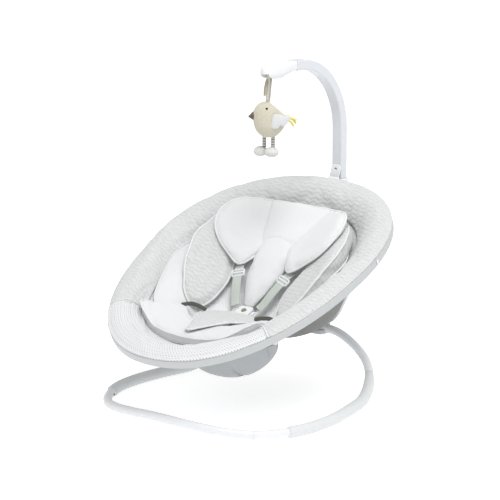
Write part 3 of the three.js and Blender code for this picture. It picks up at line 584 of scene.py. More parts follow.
def soft(obj, cap, pressure, pinned, slack=0.02):
    """Marks a closed piece for inflating; pinned says which points its seams keep in place."""
    group = obj.vertex_groups.new(name="seam")
    group.add([int(i) for i in np.nonzero(pinned)[0]], 1.0, "REPLACE")
    cloth = obj.modifiers.new("cloth", "CLOTH")
    for key, value in {"quality": 4, "mass": 0.12, "tension_stiffness": 14,
                       "compression_stiffness": 14, "shear_stiffness": 6, "bending_stiffness": 0.25,
                       "use_pressure": True, "uniform_pressure_force": pressure,
                       "shrink_min": -slack, "vertex_group_mass": "seam"}.items():
        setattr(cloth.settings, key, value)
    cloth.settings.effector_weights.gravity = 0
    cloth.collision_settings.use_collision = False
    cloth.point_cache.frame_start = 1
    cloth.point_cache.frame_end = CLOTH_STEPS
    SIMULATED.append((obj, cap))


def run_simulation():
    """Steps every marked piece together, and keeps each point within its cap of where it began."""
    if not SIMULATED:
        return
    scene = bpy.context.scene
    scene.frame_start, scene.frame_end = 1, CLOTH_STEPS
    for step in range(1, CLOTH_STEPS + 1):
        scene.frame_set(step)
    graph = bpy.context.evaluated_depsgraph_get()
    for obj, cap in SIMULATED:
        mesh = obj.evaluated_get(graph).to_mesh()
        end = np.zeros(len(mesh.vertices) * 3)
        mesh.vertices.foreach_get("co", end)
        begin = points_of(obj)
        move = end.reshape(-1, 3) - begin
        size = np.linalg.norm(move, axis=1, keepdims=True)
        move *= np.minimum(1, cap / np.maximum(size, 1e-9))
        obj.evaluated_get(graph).to_mesh_clear()
        obj.modifiers.clear()
        set_points(obj, begin + move)
    scene.frame_set(1)


# ---- the floor loop ----------------------------------------------------------------------------
HALF_RAIL = [[70, -290], [150, -262], [206, -219], [250, -140], [260, -55], [245, 51], [214, 158],
             [172, 207], [96, 229], [20, 233]]
RAIL_PLAN = spline(np.array([[-x, y] for x,
                             y in reversed(HALF_RAIL)] + [[0, -296]] + HALF_RAIL) / 1000, 2401)
RAIL_LENGTH = float(np.linalg.norm(np.diff(RAIL_PLAN, axis=0), axis=1).sum())
HUB_PLUG_AT = RAIL_LENGTH / 2 - 0.004


def rail(distances):
    """Places along the rail, by distance from the front's middle towards the baby's left."""
    d = np.asarray(distances, float)
    at = (0.5 + d / RAIL_LENGTH) * (len(RAIL_PLAN) - 1)
    x, y = (np.interp(at, np.arange(len(RAIL_PLAN)), RAIL_PLAN[:, k]) for k in (0, 1))
    away = np.abs(d)
    rear = HUB_RISE * smooth(HUB_RISE_START, HUB_RISE_START + HUB_RISE_LENGTH, away)
    z = RAIL_FLOOR_Z + FRONT_RISE * (1 - smooth(0, FRONT_RISE_END, away)) + rear
    return np.stack([x, y, z], axis=-1) + SHIFT


def tube(name, start, end, look):
    """A stretch of the rail with eased ends, so that each joint reads as a fine line."""
    steps = int(abs(end - start) / 0.006) + 6
    d = np.concatenate([[start, start + 0.0006], np.linspace(start + 0.0015, end - 0.0015, steps),
                        [end - 0.0006, end]])
    scale = np.ones(len(d))
    scale[[0, -1]] = 0.93
    scale[[1, -2]] = 0.98
    return new_object(name, *grid(sweep(rail(d), circle(RAIL_RADIUS, 40), scale=scale)), look)


def add_base():
    front = tube("front_rail", RIGHT_JOINT_AT + 0.0003, LEFT_JOINT_AT - 0.0003, COAT)
    finish_piece(front, "base", ["front_tube"], "white_tube")
    for side, sign, joint in (("left", 1, LEFT_JOINT_AT), ("right", -1, -RIGHT_JOINT_AT)):
        whole = tube(f"{side}_rail", joint, HUB_PLUG_AT, COAT)
        if sign < 0:
            flip_side(whole)
        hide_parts(f"{side}_side_tube", f"{side}_rear_tube")
        start, end = (rail(sign * (FLEX_AT + gap)) for gap in (-0.05, 0.06))
        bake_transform(whole)

        d = np.linspace(SLEEVE_START, SLEEVE_END, 70)
        collar = 1 + 0.03 * np.exp(-((d - SLEEVE_START - 0.003) / 0.0026) ** 4)
        taper = 1 - 1.02 * RAIL_RADIUS / SLEEVE_RADIUS
        scale = collar * (1 - taper * smooth(SLEEVE_END - 0.040, SLEEVE_END, d))
        scale[0] = 0.86
        rows = sweep(rail(sign * d), circle(SLEEVE_RADIUS, 44), scale=scale)
        rows[..., 2] = np.maximum(rows[..., 2], 0.0)
        sleeve = new_object(f"{side}_sleeve", *grid(rows), RUBBER)
        finish_piece(sleeve, "base", [f"{side}_grip_sleeve"], "grip_rubber")

        button_at = (LEFT_JOINT_AT if sign > 0 else RIGHT_JOINT_AT) + 0.015
        at, ahead = rail([button_at, button_at + 0.001])
        along = unit(ahead - at)
        inward = unit(np.array([-along[1], along[0], 0]))
        profile = [(0.0029, 0.003), (0.0029, 0.0098), (0.0026, 0.0106), (0.0016, 0.0112),
                   (0, 0.0114)]
        button = lathe(f"{side}_button", profile, at, inward, STEEL, 24)
        finish_piece(button, "base", [f"{side}_snap_button"], "steel")


def flip_side(obj):
    """Turns a left-hand piece into its right-hand twin."""
    co = points_of(obj)
    co[:, 0] *= -1
    set_points(obj, co)
    obj.data.flip_normals()


# ---- blocks, hub and cradle --------------------------------------------------------------------
def block(name, size, corner, fillet, look, place=None):
    """A box with rounded corners and edges, its base centred on the origin until it is placed."""
    width, depth, height = size
    rows = []
    turns = np.linspace(0, math.pi / 2, 5)
    for a, start, way in [(a, 0, 1) for a in turns] + [(a, height, -1) for a in turns[::-1]]:
        inset, z = fillet * (1 - math.sin(a)), start + way * fillet * (1 - math.cos(a))
        outline = rounded(width - 2 * inset, depth - 2 * inset, max(corner - inset, 0.0003))
        rows.append(np.column_stack([outline, np.full(len(outline), z)]))
    points, faces = grid(np.array(rows))
    obj = new_object(name, place(points) if place else points, faces, look)
    modified(obj, "WEIGHTED_NORMAL", keep_sharp=True)
    return obj


def cut_away(obj, *cutters):
    """Cuts holes, then drops the cutters."""
    for cutter in cutters:
        modified(obj, "BOOLEAN", operation="DIFFERENCE", object=cutter, solver="EXACT")
    apply_modifiers(obj)
    for cutter in cutters:
        bpy.data.objects.remove(cutter)
    modified(obj, "BEVEL", width=0.0004, segments=2, limit_method="ANGLE",
             angle_limit=math.radians(50))
    apply_modifiers(obj)
    modified(obj, "WEIGHTED_NORMAL", keep_sharp=True)
    shade_smooth(obj)


HUB_Y, HUB_Z = 0.233, RAIL_FLOOR_Z + HUB_RISE
SADDLE_TOP = HUB_Z + 0.034


def at_place(x, y, z):
    return lambda points: points + np.array([x, y, z]) + SHIFT


def add_hub():
    for name, size, corner, fillet, y, z, replaced in (
            ("hub_lower_shell", (0.096, 0.042, 0.0125), 0.014, 0.004, 0, -0.0127, ["hub_lower"]),
            ("hub_cap", (0.096, 0.042, 0.016), 0.014, 0.004, 0, 0.0002, ["hub_upper"]),
            ("hub_saddle", (0.084, 0.028, 0.024), 0.004, 0.002, -0.002, 0.010, ())):
        shell = block(name, size, corner, fillet, GREY, at_place(0, HUB_Y + y, HUB_Z + z))
        finish_piece(shell, "seat", replaced, "grey_plastic")
    profile = [(0, -0.001), (0.0038, -0.001), (0.0042, 0.0), (0.0040, 0.0022), (0, 0.0022)]
    for side, x, y in (("right", -0.036, -0.015), ("left", 0.036, 0.015)):
        at = np.array([x, HUB_Y + y, HUB_Z - 0.015]) + SHIFT
        screw = lathe(f"hub_{side}_screw_head", profile, at, [0, 0, 1], STEEL, 24)
        finish_piece(screw, "seat", [f"hub_screw_{side}"], "steel")


def add_cradle():
    root = to_ring(np.array([0, HUB_Y - 0.002, SADDLE_TOP - 0.011]) + SHIFT)
    rim = egg(PI2 * CRADLE_AT, 0.013)
    for side, sign in (("left", 1), ("right", -1)):
        path = spline([[0.034, root[1], root[2]], [0.062, root[1], root[2]],
                       [0.150, rim[1] - 0.008, -0.118],
                       [0.210, rim[1] - 0.002, -0.057], [rim[0] - 0.003, rim[1], -0.004]], 60)
        rows = sweep(path, rounded(0.005, 0.017, 0.0022), reference=[0, 1, 0])
        rows[..., 0] *= sign
        strip = new_object(f"{side}_cradle_strip", *grid(ring(rows)), GREY)
        finish_piece(strip, "seat", [f"{side}_cradle_arm"], "grey_plastic")

        on, beyond = egg(PI2 * RIVET_AT, 0.0), egg(PI2 * RIVET_AT, -0.001)
        outward = unit(np.array([beyond[0] - on[0], beyond[1] - on[1], 0]))
        at = np.array([on[0] * sign, on[1], BAND_HEIGHT / 2])
        axis = ring(outward * [sign, 1, 1]) - ring([0, 0, 0])
        profile = [(0, 0), (0.0045, 0), (0.0045, 0.0008), (0.0038, 0.0018), (0.0022, 0.0023),
                   (0, 0.0025)]
        rivet = lathe(f"{side}_rivet", profile, ring(at), axis, WHITE)
        finish_piece(rivet, "seat", [f"{side}_band_rivet"], "white_plastic")


# ---- ring --------------------------------------------------------------------------------------
RIM_SECTION = np.array([[1, 17.4], [3, 25], [11, 30.5], [22, 32.5], [36, 30], [52, 20], [66, 6],
                        [78, -9], [75, -14], [60, -4], [44, 9], [28, 17.4]]) / 1000
CROWN = 3               # the section's point on the crown
ROW_SPACING = 0.0055    # between the covers' rows of points, along the rim
PANEL_FROM = 1.5 * math.pi - FOOT_PANEL_HALF_ANGLE
PANEL_TO = 1.5 * math.pi + FOOT_PANEL_HALF_ANGLE


def rim_angles(count, start=0.0, end=PI2, closed=False):
    """Angles evenly spaced along the outline."""
    fine = np.linspace(start, end, 6001)
    length = run_length(egg(fine))
    return np.interp(np.linspace(0, length[-1], count, endpoint=not closed), length, fine)


def rim_rows(section, angles):
    """Ring places of a section (inset, level) carried round the given angles."""
    section = np.asarray(section, float)
    rows = []
    for inset, level in section:
        p = egg(angles, inset)
        rows.append(np.column_stack([p, np.full(len(angles), level)]))
    return np.array(rows).transpose(1, 0, 2)


def section_arc(inset, level):
    """Distance round the rim's section, from its outer seam, of the nearest point on it."""
    line = np.vstack([RIM_SECTION, RIM_SECTION[:1]])
    start = run_length(line)
    p = np.stack([inset, level], axis=-1)
    best, arc = np.full(len(p), 9.0), np.zeros(len(p))
    for a, b, s in zip(line[:-1], line[1:], start):
        t = np.clip(((p - a) @ (b - a)) / ((b - a) @ (b - a)), 0, 1)
        off = np.linalg.norm(p - (a + t[:, None] * (b - a)), axis=1)
        arc = np.where(off < best, s + t * np.linalg.norm(b - a), arc)
        best = np.minimum(best, off)
    return arc, start[CROWN]


def rim_cloth(obj, along_rim=False):
    """Lays the rim's cloth flat: true distances over the crown and down both walls."""
    p = to_ring(points_of(obj))
    inset = inset_of(p[:, 0], p[:, 1])
    step = 0.0005
    outward = unit(np.stack([inset_of(p[:, 0] - step, p[:, 1]) - inset_of(p[:, 0] + step, p[:, 1]),
                             inset_of(p[:, 0], p[:, 1] - step) - inset_of(p[:, 0], p[:, 1] + step)],
                            axis=-1))
    arc, crown = section_arc(inset, p[:, 2])
    if along_rim:
        fine = np.linspace(0, PI2, 4001)
        length = run_length(egg(fine))
        angle = np.arctan2(power(p[:, 1] / (RING_LENGTH / 2 - inset), RING_SQUARENESS / 2),
                           power(p[:, 0], RING_SQUARENESS / 2)
                           / (RING_WIDTH / 2 - inset) ** (RING_SQUARENESS / 2)) % PI2
        set_flat_cloth(obj, np.interp(angle, fine, length), arc)
        return
    extra = (inset - RIM_SECTION[CROWN, 0]) - (arc - crown)
    set_flat_cloth(obj, *(p[:, :2] + outward * extra[:, None]).T)


def surface_of(obj):
    graph = bpy.context.evaluated_depsgraph_get()
    return BVHTree.FromObject(obj, graph)


def snapped(tree, path, out=0.0):
    """The path's points moved onto a surface, and out of it by a little."""
    result = []
    for p in path:
        place, normal, _, _ = tree.find_nearest(Vector(p))
        result.append(place + normal * out)
    return np.array(result)


def softened(obj, look, rounds):
    modified(obj, "SMOOTH", factor=0.4, iterations=rounds)
    modified(obj, "SUBSURF", levels=1, render_levels=1)
    apply_modifiers(obj)
    obj.data.materials.clear()
    obj.data.materials.append(look)
    shade_smooth(obj)


def second_look(obj, look, where):
    """Gives the faces whose ring places pass a test another material."""
    obj.data.materials.append(look)
    centres = np.zeros(len(obj.data.polygons) * 3)
    obj.data.polygons.foreach_get("center", centres)
    chosen = where(to_ring(centres.reshape(-1, 3)))
    obj.data.polygons.foreach_set("material_index", chosen.astype(np.int32))


LATER = []      # what is done to each soft piece after the simulation


def add_ring():
    angles = rim_angles(260, closed=True)
    tube_section = np.array([[0.013 + 0.008 * math.cos(a), 0.009 + 0.008 * math.sin(a)]
                             for a in np.linspace(0, PI2, 20, endpoint=False)])
    hoop = new_object("ring_tube", *grid(ring(rim_rows(tube_section, angles)), loop=True), COAT)
    finish_piece(hoop, "seat", ["ring_frame"], "ring_tube")

    band_section = rounded(0.004, BAND_HEIGHT + 0.0008, 0.0014) + [0.002, BAND_HEIGHT / 2 + 0.0004]
    band = new_object("edge_band", *grid(ring(rim_rows(band_section, angles)), loop=True), GREY)
    finish_piece(band, "seat", ["rim_band"], "grey_plastic")

    section = spline(RIM_SECTION, 54, closed=True)
    section[:, 1] -= 0.0015 * smooth(0.018, 0.030, section[:, 1])
    seam = -0.012           # the knit cover's ends lie under the mesh cover's
    for name, node, start, end, look in (
            ("mesh_rim", "rim_mesh", PANEL_FROM + seam, PANEL_TO - seam, MESH),
            ("knit_rim", "rim_knit", PANEL_TO + seam, PANEL_FROM + PI2 - seam, KNIT)):
        count = int(run_length(egg(np.linspace(start, end, 800)))[-1] / ROW_SPACING)
        rows = rim_rows(section, rim_angles(count, start, end))
        if node == "rim_knit":
            for i, sink in enumerate((0.05, 0.05, 0.03)):
                for row in (i, len(rows) - 1 - i):
                    rows[row] += (rows[row].mean(axis=0) - rows[row]) * sink
        roll = new_object(name, *grid(ring(rows)), look)
        places = to_ring(points_of(roll))
        inset = inset_of(places[:, 0], places[:, 1])
        low = (places[:, 2] < 0.0185) & (inset < 0.05)
        soft(roll, 0.004, 3.0, low | (inset > 0.074), 0.012)
        LATER.append((finish_rim, roll, node, look))


def finish_rim(roll, node, look):
    softened(roll, look, 3)
    co = points_of(roll)
    p = to_ring(co)
    if node == "rim_mesh":
        inset = inset_of(p[:, 0], p[:, 1])
        groove = sum(np.exp(-((inset - at) / 0.0022) ** 2) for at in (0.050, 0.060))
        side = smooth(0.02, 0.10, -p[:, 0]) * 0.8 + 0.2
        co -= RING_OUT * (0.0016 * groove * side)[:, None]
        set_points(roll, co)
    rim_cloth(roll, along_rim=node == "rim_mesh")
    finish_piece(roll, "seat", [node], "knit" if node == "rim_knit" else "air_mesh")
    if node == "rim_knit":
        tree = surface_of(roll)
        for side, angle in (("right", PANEL_FROM - 0.013), ("left", PANEL_TO + 0.013)):
            line = spline(RIM_SECTION[:8], 40)
            path = ring(rim_rows(line, np.array([angle]))[0])
            piping = rod(f"{side}_rim_piping", snapped(tree, path, 0.0006), 0.0012, PIPING, 10,
                         round_ends=True)
            finish_piece(piping, "seat", (), "knit")


# ---- hammock and the pouches under it ----------------------------------------------------------
LINER_EDGE, LINER_THICKNESS = 1.035, 0.004
FOOT_LINER_END = -0.150        # the liner is mesh from here to the foot end


def bowl_rows(outline, inner, outer, around, rings):
    rows = []
    for t in np.linspace(0, 1, rings * 2):
        inside = t < 0.5
        r = math.sin((t * 2 if inside else (1 - t) * 2) * math.pi / 2) if 0 < t < 1 else 0.004
        p = outline(np.arange(around) / around * PI2, max(r, 0.004))
        rows.append(np.column_stack([p, (inner if inside else outer)(p[:, 0], p[:, 1])]))
    return np.array(rows)


def under_liner(x, y):
    return well_level(x, y) - 0.002 - LINER_THICKNESS


def bowl_cloth(obj, rows):
    """Flat places for a bowl: distance round it, and distance down from its edge."""
    middle = rows.shape[0] // 2
    step = np.linalg.norm(np.diff(rows, axis=0), axis=2)
    down = np.concatenate([np.zeros((1, rows.shape[1])), np.cumsum(step, axis=0)])
    down = np.abs(down - down[middle - 1][None])
    around = run_length(rows[middle])
    flat = np.stack([np.broadcast_to(around, down.shape), down, np.zeros_like(down)], axis=-1)
    set_cloth(obj, flat.reshape(-1, 3))


def add_hammock():
    def lip(a, r):
        return egg(a, LIP_INSET) * r * LINER_EDGE

    def inside(x, y):
        """The well, and at the foot end the rim's slope carried on down to the cushion."""
        slope = -0.010 - 0.60 * np.maximum(0, inset_of(x, y) - 0.078)
        foot = smooth(-0.10, -0.15, y)
        return np.maximum(well_level(x, y) - 0.002, slope * foot - 0.3 * (1 - foot))

    rows = bowl_rows(lip, inside, lambda x, y: inside(x, y) - LINER_THICKNESS, 160, 26)
    liner = new_object("hammock", *grid(ring(rows)), KNIT)
    set_cloth(liner, rows.reshape(-1, 3) * [1.25, 1.15, 0])
    finish_piece(liner, "seat", ["hammock_liner"], "lining")
    second_look(liner, MESH, lambda p: p[:, 1] < FOOT_LINER_END)

    for name, node, look, slot, centre, half_width, half_length, depth, cut, cut_area in (
            ("under_bag", "front_bag", BAG, "lining", -0.112, 0.112, 0.084, 0.168, (0.28, 0.24),
             0.052),
            ("rear_dome", "back_pocket", DOME, "dome_cloth", 0.084, 0.182, 0.108, 0.186,
             (0.43, 0.36), 0.120)):
        power_of = 2.2

        def outline(a, r):
            return np.stack([half_width * r * power(np.cos(a), 2 / power_of),
                             centre + half_length * r * power(np.sin(a), 2 / power_of)], axis=-1)

        def fall(x, y):
            across, along = np.abs(x / half_width), np.abs((y - centre) / half_length)
            r = (across ** power_of + along ** power_of) ** (1 / power_of)
            return np.sqrt(np.maximum(0, 1 - np.minimum(1, r) ** 2.4))

        def outer(x, y):
            level = under_liner(x, y) - 0.001 - (depth + under_liner(x, y)) * fall(x, y)
            if node == "front_bag":
                off_crease = np.abs(x) - 0.050 - 2.5 * (y - centre) ** 2
                crease = 0.006 * np.exp(-(off_crease / 0.005) ** 2)
                level = level + crease * smooth(0.0, 0.35, fall(x, y))
            return level

        def inner(x, y):
            return outer(x, y) + 0.003 * fall(x, y) + 0.0004

        rows = bowl_rows(outline, inner, outer, 140, 34)
        pouch = new_object(name, *grid(ring(rows)), look)
        bowl_cloth(pouch, rows)
        finish_piece(pouch, "seat", [node], slot)
        tree = surface_of(pouch)
        if node == "front_bag":
            v = np.linspace(centre - half_length * 0.80, centre + half_length * 0.80, 60)
            u = 0.046 + 2.5 * (v - centre) ** 2
            lines = {"left_seam": (u, v, BAG), "right_seam": (-u, v, BAG)}
        else:
            u, v = outline(np.linspace(-0.12, 1.12, 120) * math.pi, 0.965).T
            lines = {"border": (u, v, PIPING)}
        pipings = []
        for part, (u, v, cloth) in lines.items():
            seam = snapped(tree, ring(np.column_stack([u, v, outer(u, v)])), 0.0004)
            pipings.append(rod(f"{name}_{part}", seam, 0.0016, cloth, 10, round_ends=True))
            finish_piece(pipings[-1], "seat", (), slot)


# ---- infant insert -----------------------------------------------------------------------------
def reflect(outline):
    return [[-x, y] for x, y in reversed(outline)]


def both(half):
    return half + reflect(half)


def depth_at(thickness, x, y):
    """A pad's thickness at a place: one number, or a function of the place."""
    return thickness(x, y) if callable(thickness) else thickness


def pad_rows(outline, under, thickness, centre=None, around=110, boxy=0.45, rings=15):
    curve = spline(np.array(outline) / 1000, around, closed=True)
    middle = np.array(centre) / 1000 if centre else np.array(outline).mean(axis=0) / 1000
    rows = []
    for turn in np.linspace(0.03, math.pi - 0.03, rings * 2):
        scale = math.sin(turn)
        cosine = math.copysign(math.sqrt(max(0.0, 1 - scale ** (2 / 0.6))), math.cos(turn))
        lift = 0.5 + 0.5 * math.copysign(abs(cosine) ** boxy, cosine)
        p = middle + (curve - middle) * scale
        rows.append(np.column_stack([p, under(*p.T) + depth_at(thickness, *p.T) * lift]))
    return np.array(rows)


def pad_edge(outline, under, thickness, lift=0.5, out=0.0, count=260):
    """The line where a pad's two covers are sewn together."""
    curve = spline(np.array(outline) / 1000, count, closed=True)
    level = under(*curve.T) + depth_at(thickness, *curve.T) * lift
    tangent = unit(np.roll(curve, -1, axis=0) - np.roll(curve, 1, axis=0))
    normal = np.stack([tangent[:, 1], -tangent[:, 0]], axis=1)
    area = np.sum(curve[:, 0] * np.roll(curve[:, 1], -1) - curve[:, 1] * np.roll(curve[:, 0], -1))
    curve = curve + normal * out * (1 if area > 0 else -1)
    return ring(np.column_stack([curve, level]))


def over(level, clearance):
    return lambda x, y: np.maximum(level(x, y), support_level(x, y) + clearance)


BASE_PAD = 0.030
WING_PAD = 0.012
base_level = over(lambda x, y: np.full_like(x, -1.0), 0.006)
WING_EDGE = np.array([  # along the ring, across it, height: the wing's outer seam
    [-0.080, 0.128, -0.048], [-0.040, 0.158, -0.034], [0.000, 0.178, -0.014], [0.040, 0.189, 0.000],
    [0.080, 0.196, 0.014], [0.115, 0.193, 0.024], [0.165, 0.176, 0.030], [0.190, 0.150, 0.022]])


def wing_level(x, y):
    """From the seat, the wings rise outwards to a seam that stands off the rim."""
    edge_x, edge_w = (np.interp(y, WING_EDGE[:, 0], WING_EDGE[:, k]) for k in (1, 2))
    inner = -0.072 + 0.27 * (y + 0.03)
    t = np.clip((np.abs(x) - 0.080) / (edge_x - 0.080), 0, 1.1) ** 1.25
    level = inner + (edge_w - 0.006 - inner) * t
    return np.maximum(level, np.maximum(well_level(x, y) + 0.033, support_level(x, y) + 0.006))


def wing_side(x, y):
    """How far the wing's outer side reaches down to the rim, beyond its own thickness."""
    edge_x = np.interp(y, WING_EDGE[:, 0], WING_EDGE[:, 1])
    reach = np.clip(wing_level(x, y) - support_level(x, y) - 0.004, 0, 0.034)
    return reach * smooth(0.032, 0.012, edge_x - np.abs(x))


def wing_under(x, y):
    return wing_level(x, y) - wing_side(x, y)


def wing_thickness(x, y):
    return WING_PAD + wing_side(x, y)


head_level = over(lambda x, y: -0.058 + 0.27 * y + 1.8 * x * x, BASE_PAD + 0.006)
foot_level = over(lambda x, y: -0.037 - 0.34 * (y + 0.215) + 1.25 * x * x, 0.001)


def base_thickness(x, y):
    """Full in the seat, thin where the base climbs the rim's inner slope as side panels."""
    return 0.007 + 0.021 * smooth(0.084, 0.124, inset_of(x, y))


def body_level(x, y):
    rise = np.where(y < 0.08, 0.46 * y, 0.0368 + 0.34 * (y - 0.08))
    return -0.070 + rise - 3 * x * x * (1 - 0.8 * smooth(0.06, 0.12, y))


def crotch_level(x, y):
    return -0.065 - 0.378 * (y + 0.048) - 0.013 * smooth(-0.15, -0.075, y) + 0 * x


BASE_OUTLINE = both([[60, -158], [112, -152], [146, -144], [166, -124], [184, -84], [200, -30],
                     [210, 30], [201, 92], [170, 150], [116, 196], [50, 214]])
FOOT_OUTLINE = both([[54, -231], [94, -223], [126, -203], [149, -182], [158, -166], [153, -147],
                     [112, -101], [58, -138]])
WING_OUTLINE = [[120, -72], [134, -68], [158, -40], [178, 0], [189, 40], [196, 80], [193, 115],
                [176, 165], [150, 190], [110, 120], [84, 50], [80, 0], [98, -60]]
HEAD_OUTLINE = both([[30, 236], [92, 232], [146, 200], [168, 148], [150, 100], [104, 68], [66, 54],
                     [50, 74], [34, 104], [16, 112]])
BODY_OUTLINE = both([[12, -24], [18, -12], [29, 10], [37, 30], [45, 54], [50, 84], [48, 114],
                     [36, 139], [14, 146]])
CROTCH_OUTLINE = both([[7, -214], [16, -196], [50, -136], [80, -88], [76, -74], [42, -58]])


# path of the near-black strip of painted shade along each leg opening
LEG_GAP_SHADE_PATH = np.array([[0.128, -0.088, -0.047], [0.108, -0.079, -0.047], [0.088, -0.079, -0.049],
                     [0.066, -0.083, -0.053]])


def flat_places(obj, across=1.0, along=1.0):
    p = to_ring(points_of(obj))
    set_flat_cloth(obj, p[:, 0] * across, p[:, 1] * along)


def add_pad(name, node, outline, under, thickness, look, centre=None, cap=0.006, pressure=4.0,
            piping=0.0024, edges=(0.5,), fill=0.7, stretch=(1.0, 1.0), slot="insert_cloth",
            shape=None, thin=False, boxy=0.45, open_piping=None, seam=None):
    """A padded piece on the seat, sewn at the given shares of its height.

    cap is how far the simulation may move it, and open_piping says which part of its seam
    has piping.
    """
    rows = pad_rows(outline, under, thickness, centre, 150 if thin else 110, boxy)
    obj = new_object(name, *grid(ring(rows)), look)
    if not thin:
        modified(obj, "REMESH", mode="VOXEL", voxel_size=0.0045, use_smooth_shade=True)
        apply_modifiers(obj)
    x, y, level = to_ring(points_of(obj)).T
    bottom = level - under(x, y) < depth_at(thickness, x, y) * 0.12
    soft(obj, cap, pressure, bottom)
    lines = [pad_edge(outline, *(seam or (under, thickness)), lift, -0.0006) for lift in edges]
    if open_piping:
        kept = open_piping(to_ring(lines[0]))
        start = int(np.argmax(~kept & np.roll(kept, -1))) + 1
        lines = [np.roll(lines[0], -start, axis=0)[:int(kept.sum())]]
    LATER.append((finish_pad, obj, node, look, lines, piping, fill, stretch, slot, shape,
                  not open_piping))
    return obj


def finish_pad(obj, node, look, lines, piping, fill, stretch, slot, shape, closed):
    softened(obj, look, 6)
    if shape:
        co = points_of(obj)
        set_points(obj, co + shape(to_ring(co)))
    flat_places(obj, *stretch)
    finish_piece(obj, "seat", [node], slot)
    tree = surface_of(obj)
    for i, line in enumerate(lines):
        path = snapped(tree, line, piping * 0.25)
        for _ in range(6):
            ends = path[[0, -1]].copy()
            path = (np.roll(path, 1, axis=0) + 2 * path + np.roll(path, -1, axis=0)) / 4
            if not closed:
                path[[0, -1]] = ends
        cord = rod(f"{obj.name}_piping_{i + 1}", path, piping, PIPING, 12, loop=closed,
                   round_ends=not closed)
        set_flat_cloth(cord, np.repeat(np.arange(len(path)) / len(path), 12) * 0.9,
                       np.tile(np.arange(12) * 0.001, len(path)))
        finish_piece(cord, "seat", (), slot)


def head_shape(p):
    """A flat middle panel between two seams, and a lobe that rises beyond each."""
    x, y = np.abs(p[:, 0]), p[:, 1]
    seam = np.interp(y, [0.110, 0.120, 0.210, 0.236], [0.038, 0.042, 0.074, 0.082])
    groove = 0.0026 * np.exp(-((x - seam) / 0.0020) ** 2)
    keep = 1.8 - 0.75 * smooth(0.165, 0.215, y)
    flat = np.where(x < seam, -keep * x * x, -keep * seam * seam)
    rise = keep * seam * seam * np.clip((x - seam) / (0.165 - seam), 0, 1)
    swell = 0.0040 - 0.0070 * smooth(0.17, 0.21, y)
    puff = swell * np.sin(math.pi * np.clip((x - seam) / (0.160 - seam), 0, 1))
    top = smooth(0.0, 0.006, p[:, 2] - head_level(p[:, 0], y) - 0.007)
    lift = (flat + rise + puff) * smooth(0.10, 0.125, y) - groove * smooth(0.105, 0.125, y) * top
    return RING_OUT * lift[:, None]


def base_shape(p):
    """Hollows in the base where the legs go."""
    x, y = np.abs(p[:, 0]), p[:, 1]
    hollow = np.exp(-((x - 0.098) / 0.026) ** 2 - ((y + 0.086) / 0.026) ** 2)
    return -RING_OUT * (0.022 * hollow)[:, None]


def add_insert():
    base = add_pad("insert_pad", "insert_base", BASE_OUTLINE, base_level, base_thickness, INSERT,
                   cap=0.003, pressure=1.5, piping=0.0016, shape=base_shape, thin=True)
    # the seat's mesh panel gets the brighter colour, painted light against the shade in the seat
    LATER.append((second_look, base, BASE, lambda p: (np.abs(p[:, 0]) < 0.125) & (p[:, 1] < 0.020)))
    add_pad("foot_bolster", "foot_cushion", FOOT_OUTLINE, foot_level, 0.028, INSERT, (0, -172),
            edges=(0.90, 0.10), cap=0.004, piping=0.0020, fill=0.85, boxy=0.22)
    for side, outline in (("left", WING_OUTLINE), ("right", reflect(WING_OUTLINE))):
        add_pad(f"{side}_side_wing", f"{side}_wing", outline, wing_under, wing_thickness, KNIT,
                stretch=(1.15, 1.05),
                slot="knit", boxy=0.30, edges=(0.62,), seam=(wing_level, WING_PAD))
    add_pad("head_pad", "head_support", HEAD_OUTLINE, head_level, 0.018, INSERT, (0, 150),
            cap=0.004, piping=0.0026, fill=0.8, shape=head_shape,
            open_piping=lambda p: (np.abs(p[:, 0]) > 0.043) | (p[:, 1] > 0.15))
    add_pad("back_pad", "body_pad", BODY_OUTLINE, body_level, 0.016, INSERT, cap=0.005, edges=())
    add_pad("crotch_pad", "crotch_panel", CROTCH_OUTLINE, crotch_level, 0.008, KNIT, cap=0.003,
            piping=0.0022, stretch=(1.0, 1.08), slot="knit")
    # painted shade: a near-black strip along each leg hollow stands for the shade in the gap
    for side, sign in (("left", 1), ("right", -1)):
        rows = sweep(spline(LEG_GAP_SHADE_PATH * [sign, 1, 1], 30), rounded(0.009, 0.0016, 0.0006),
                     reference=[0, -0.6, 0.8])
        gap_shade = new_object(f"{side}_leg_opening", *grid(ring(rows)), LEG_GAP_SHADE)
        set_cloth(gap_shade, rows.reshape(-1, 3))
        finish_piece(gap_shade, "seat", (), "webbing")


# ---- harness -----------------------------------------------------------------------------------
PAD_SLOPE = unit(np.array([0, -0.38, 0.92]))


def adjuster_top(sign):
    return np.array([sign * 0.066, 0.052, -0.0345])


def adjuster_low(sign):
    return np.array([sign * 0.049, 0.008, -0.0525])


def strap(name, points, width, thickness, look, steps=70):
    path = spline(points, steps)
    section = rounded(width, thickness, thickness * 0.45, 4)
    rows = sweep(path, section, reference=PAD_SLOPE)
    obj = new_object(name, *grid(ring(rows)), look)
    set_flat_cloth(obj, np.tile(section[:, 0], steps), np.repeat(run_length(path), len(section)))
    return obj


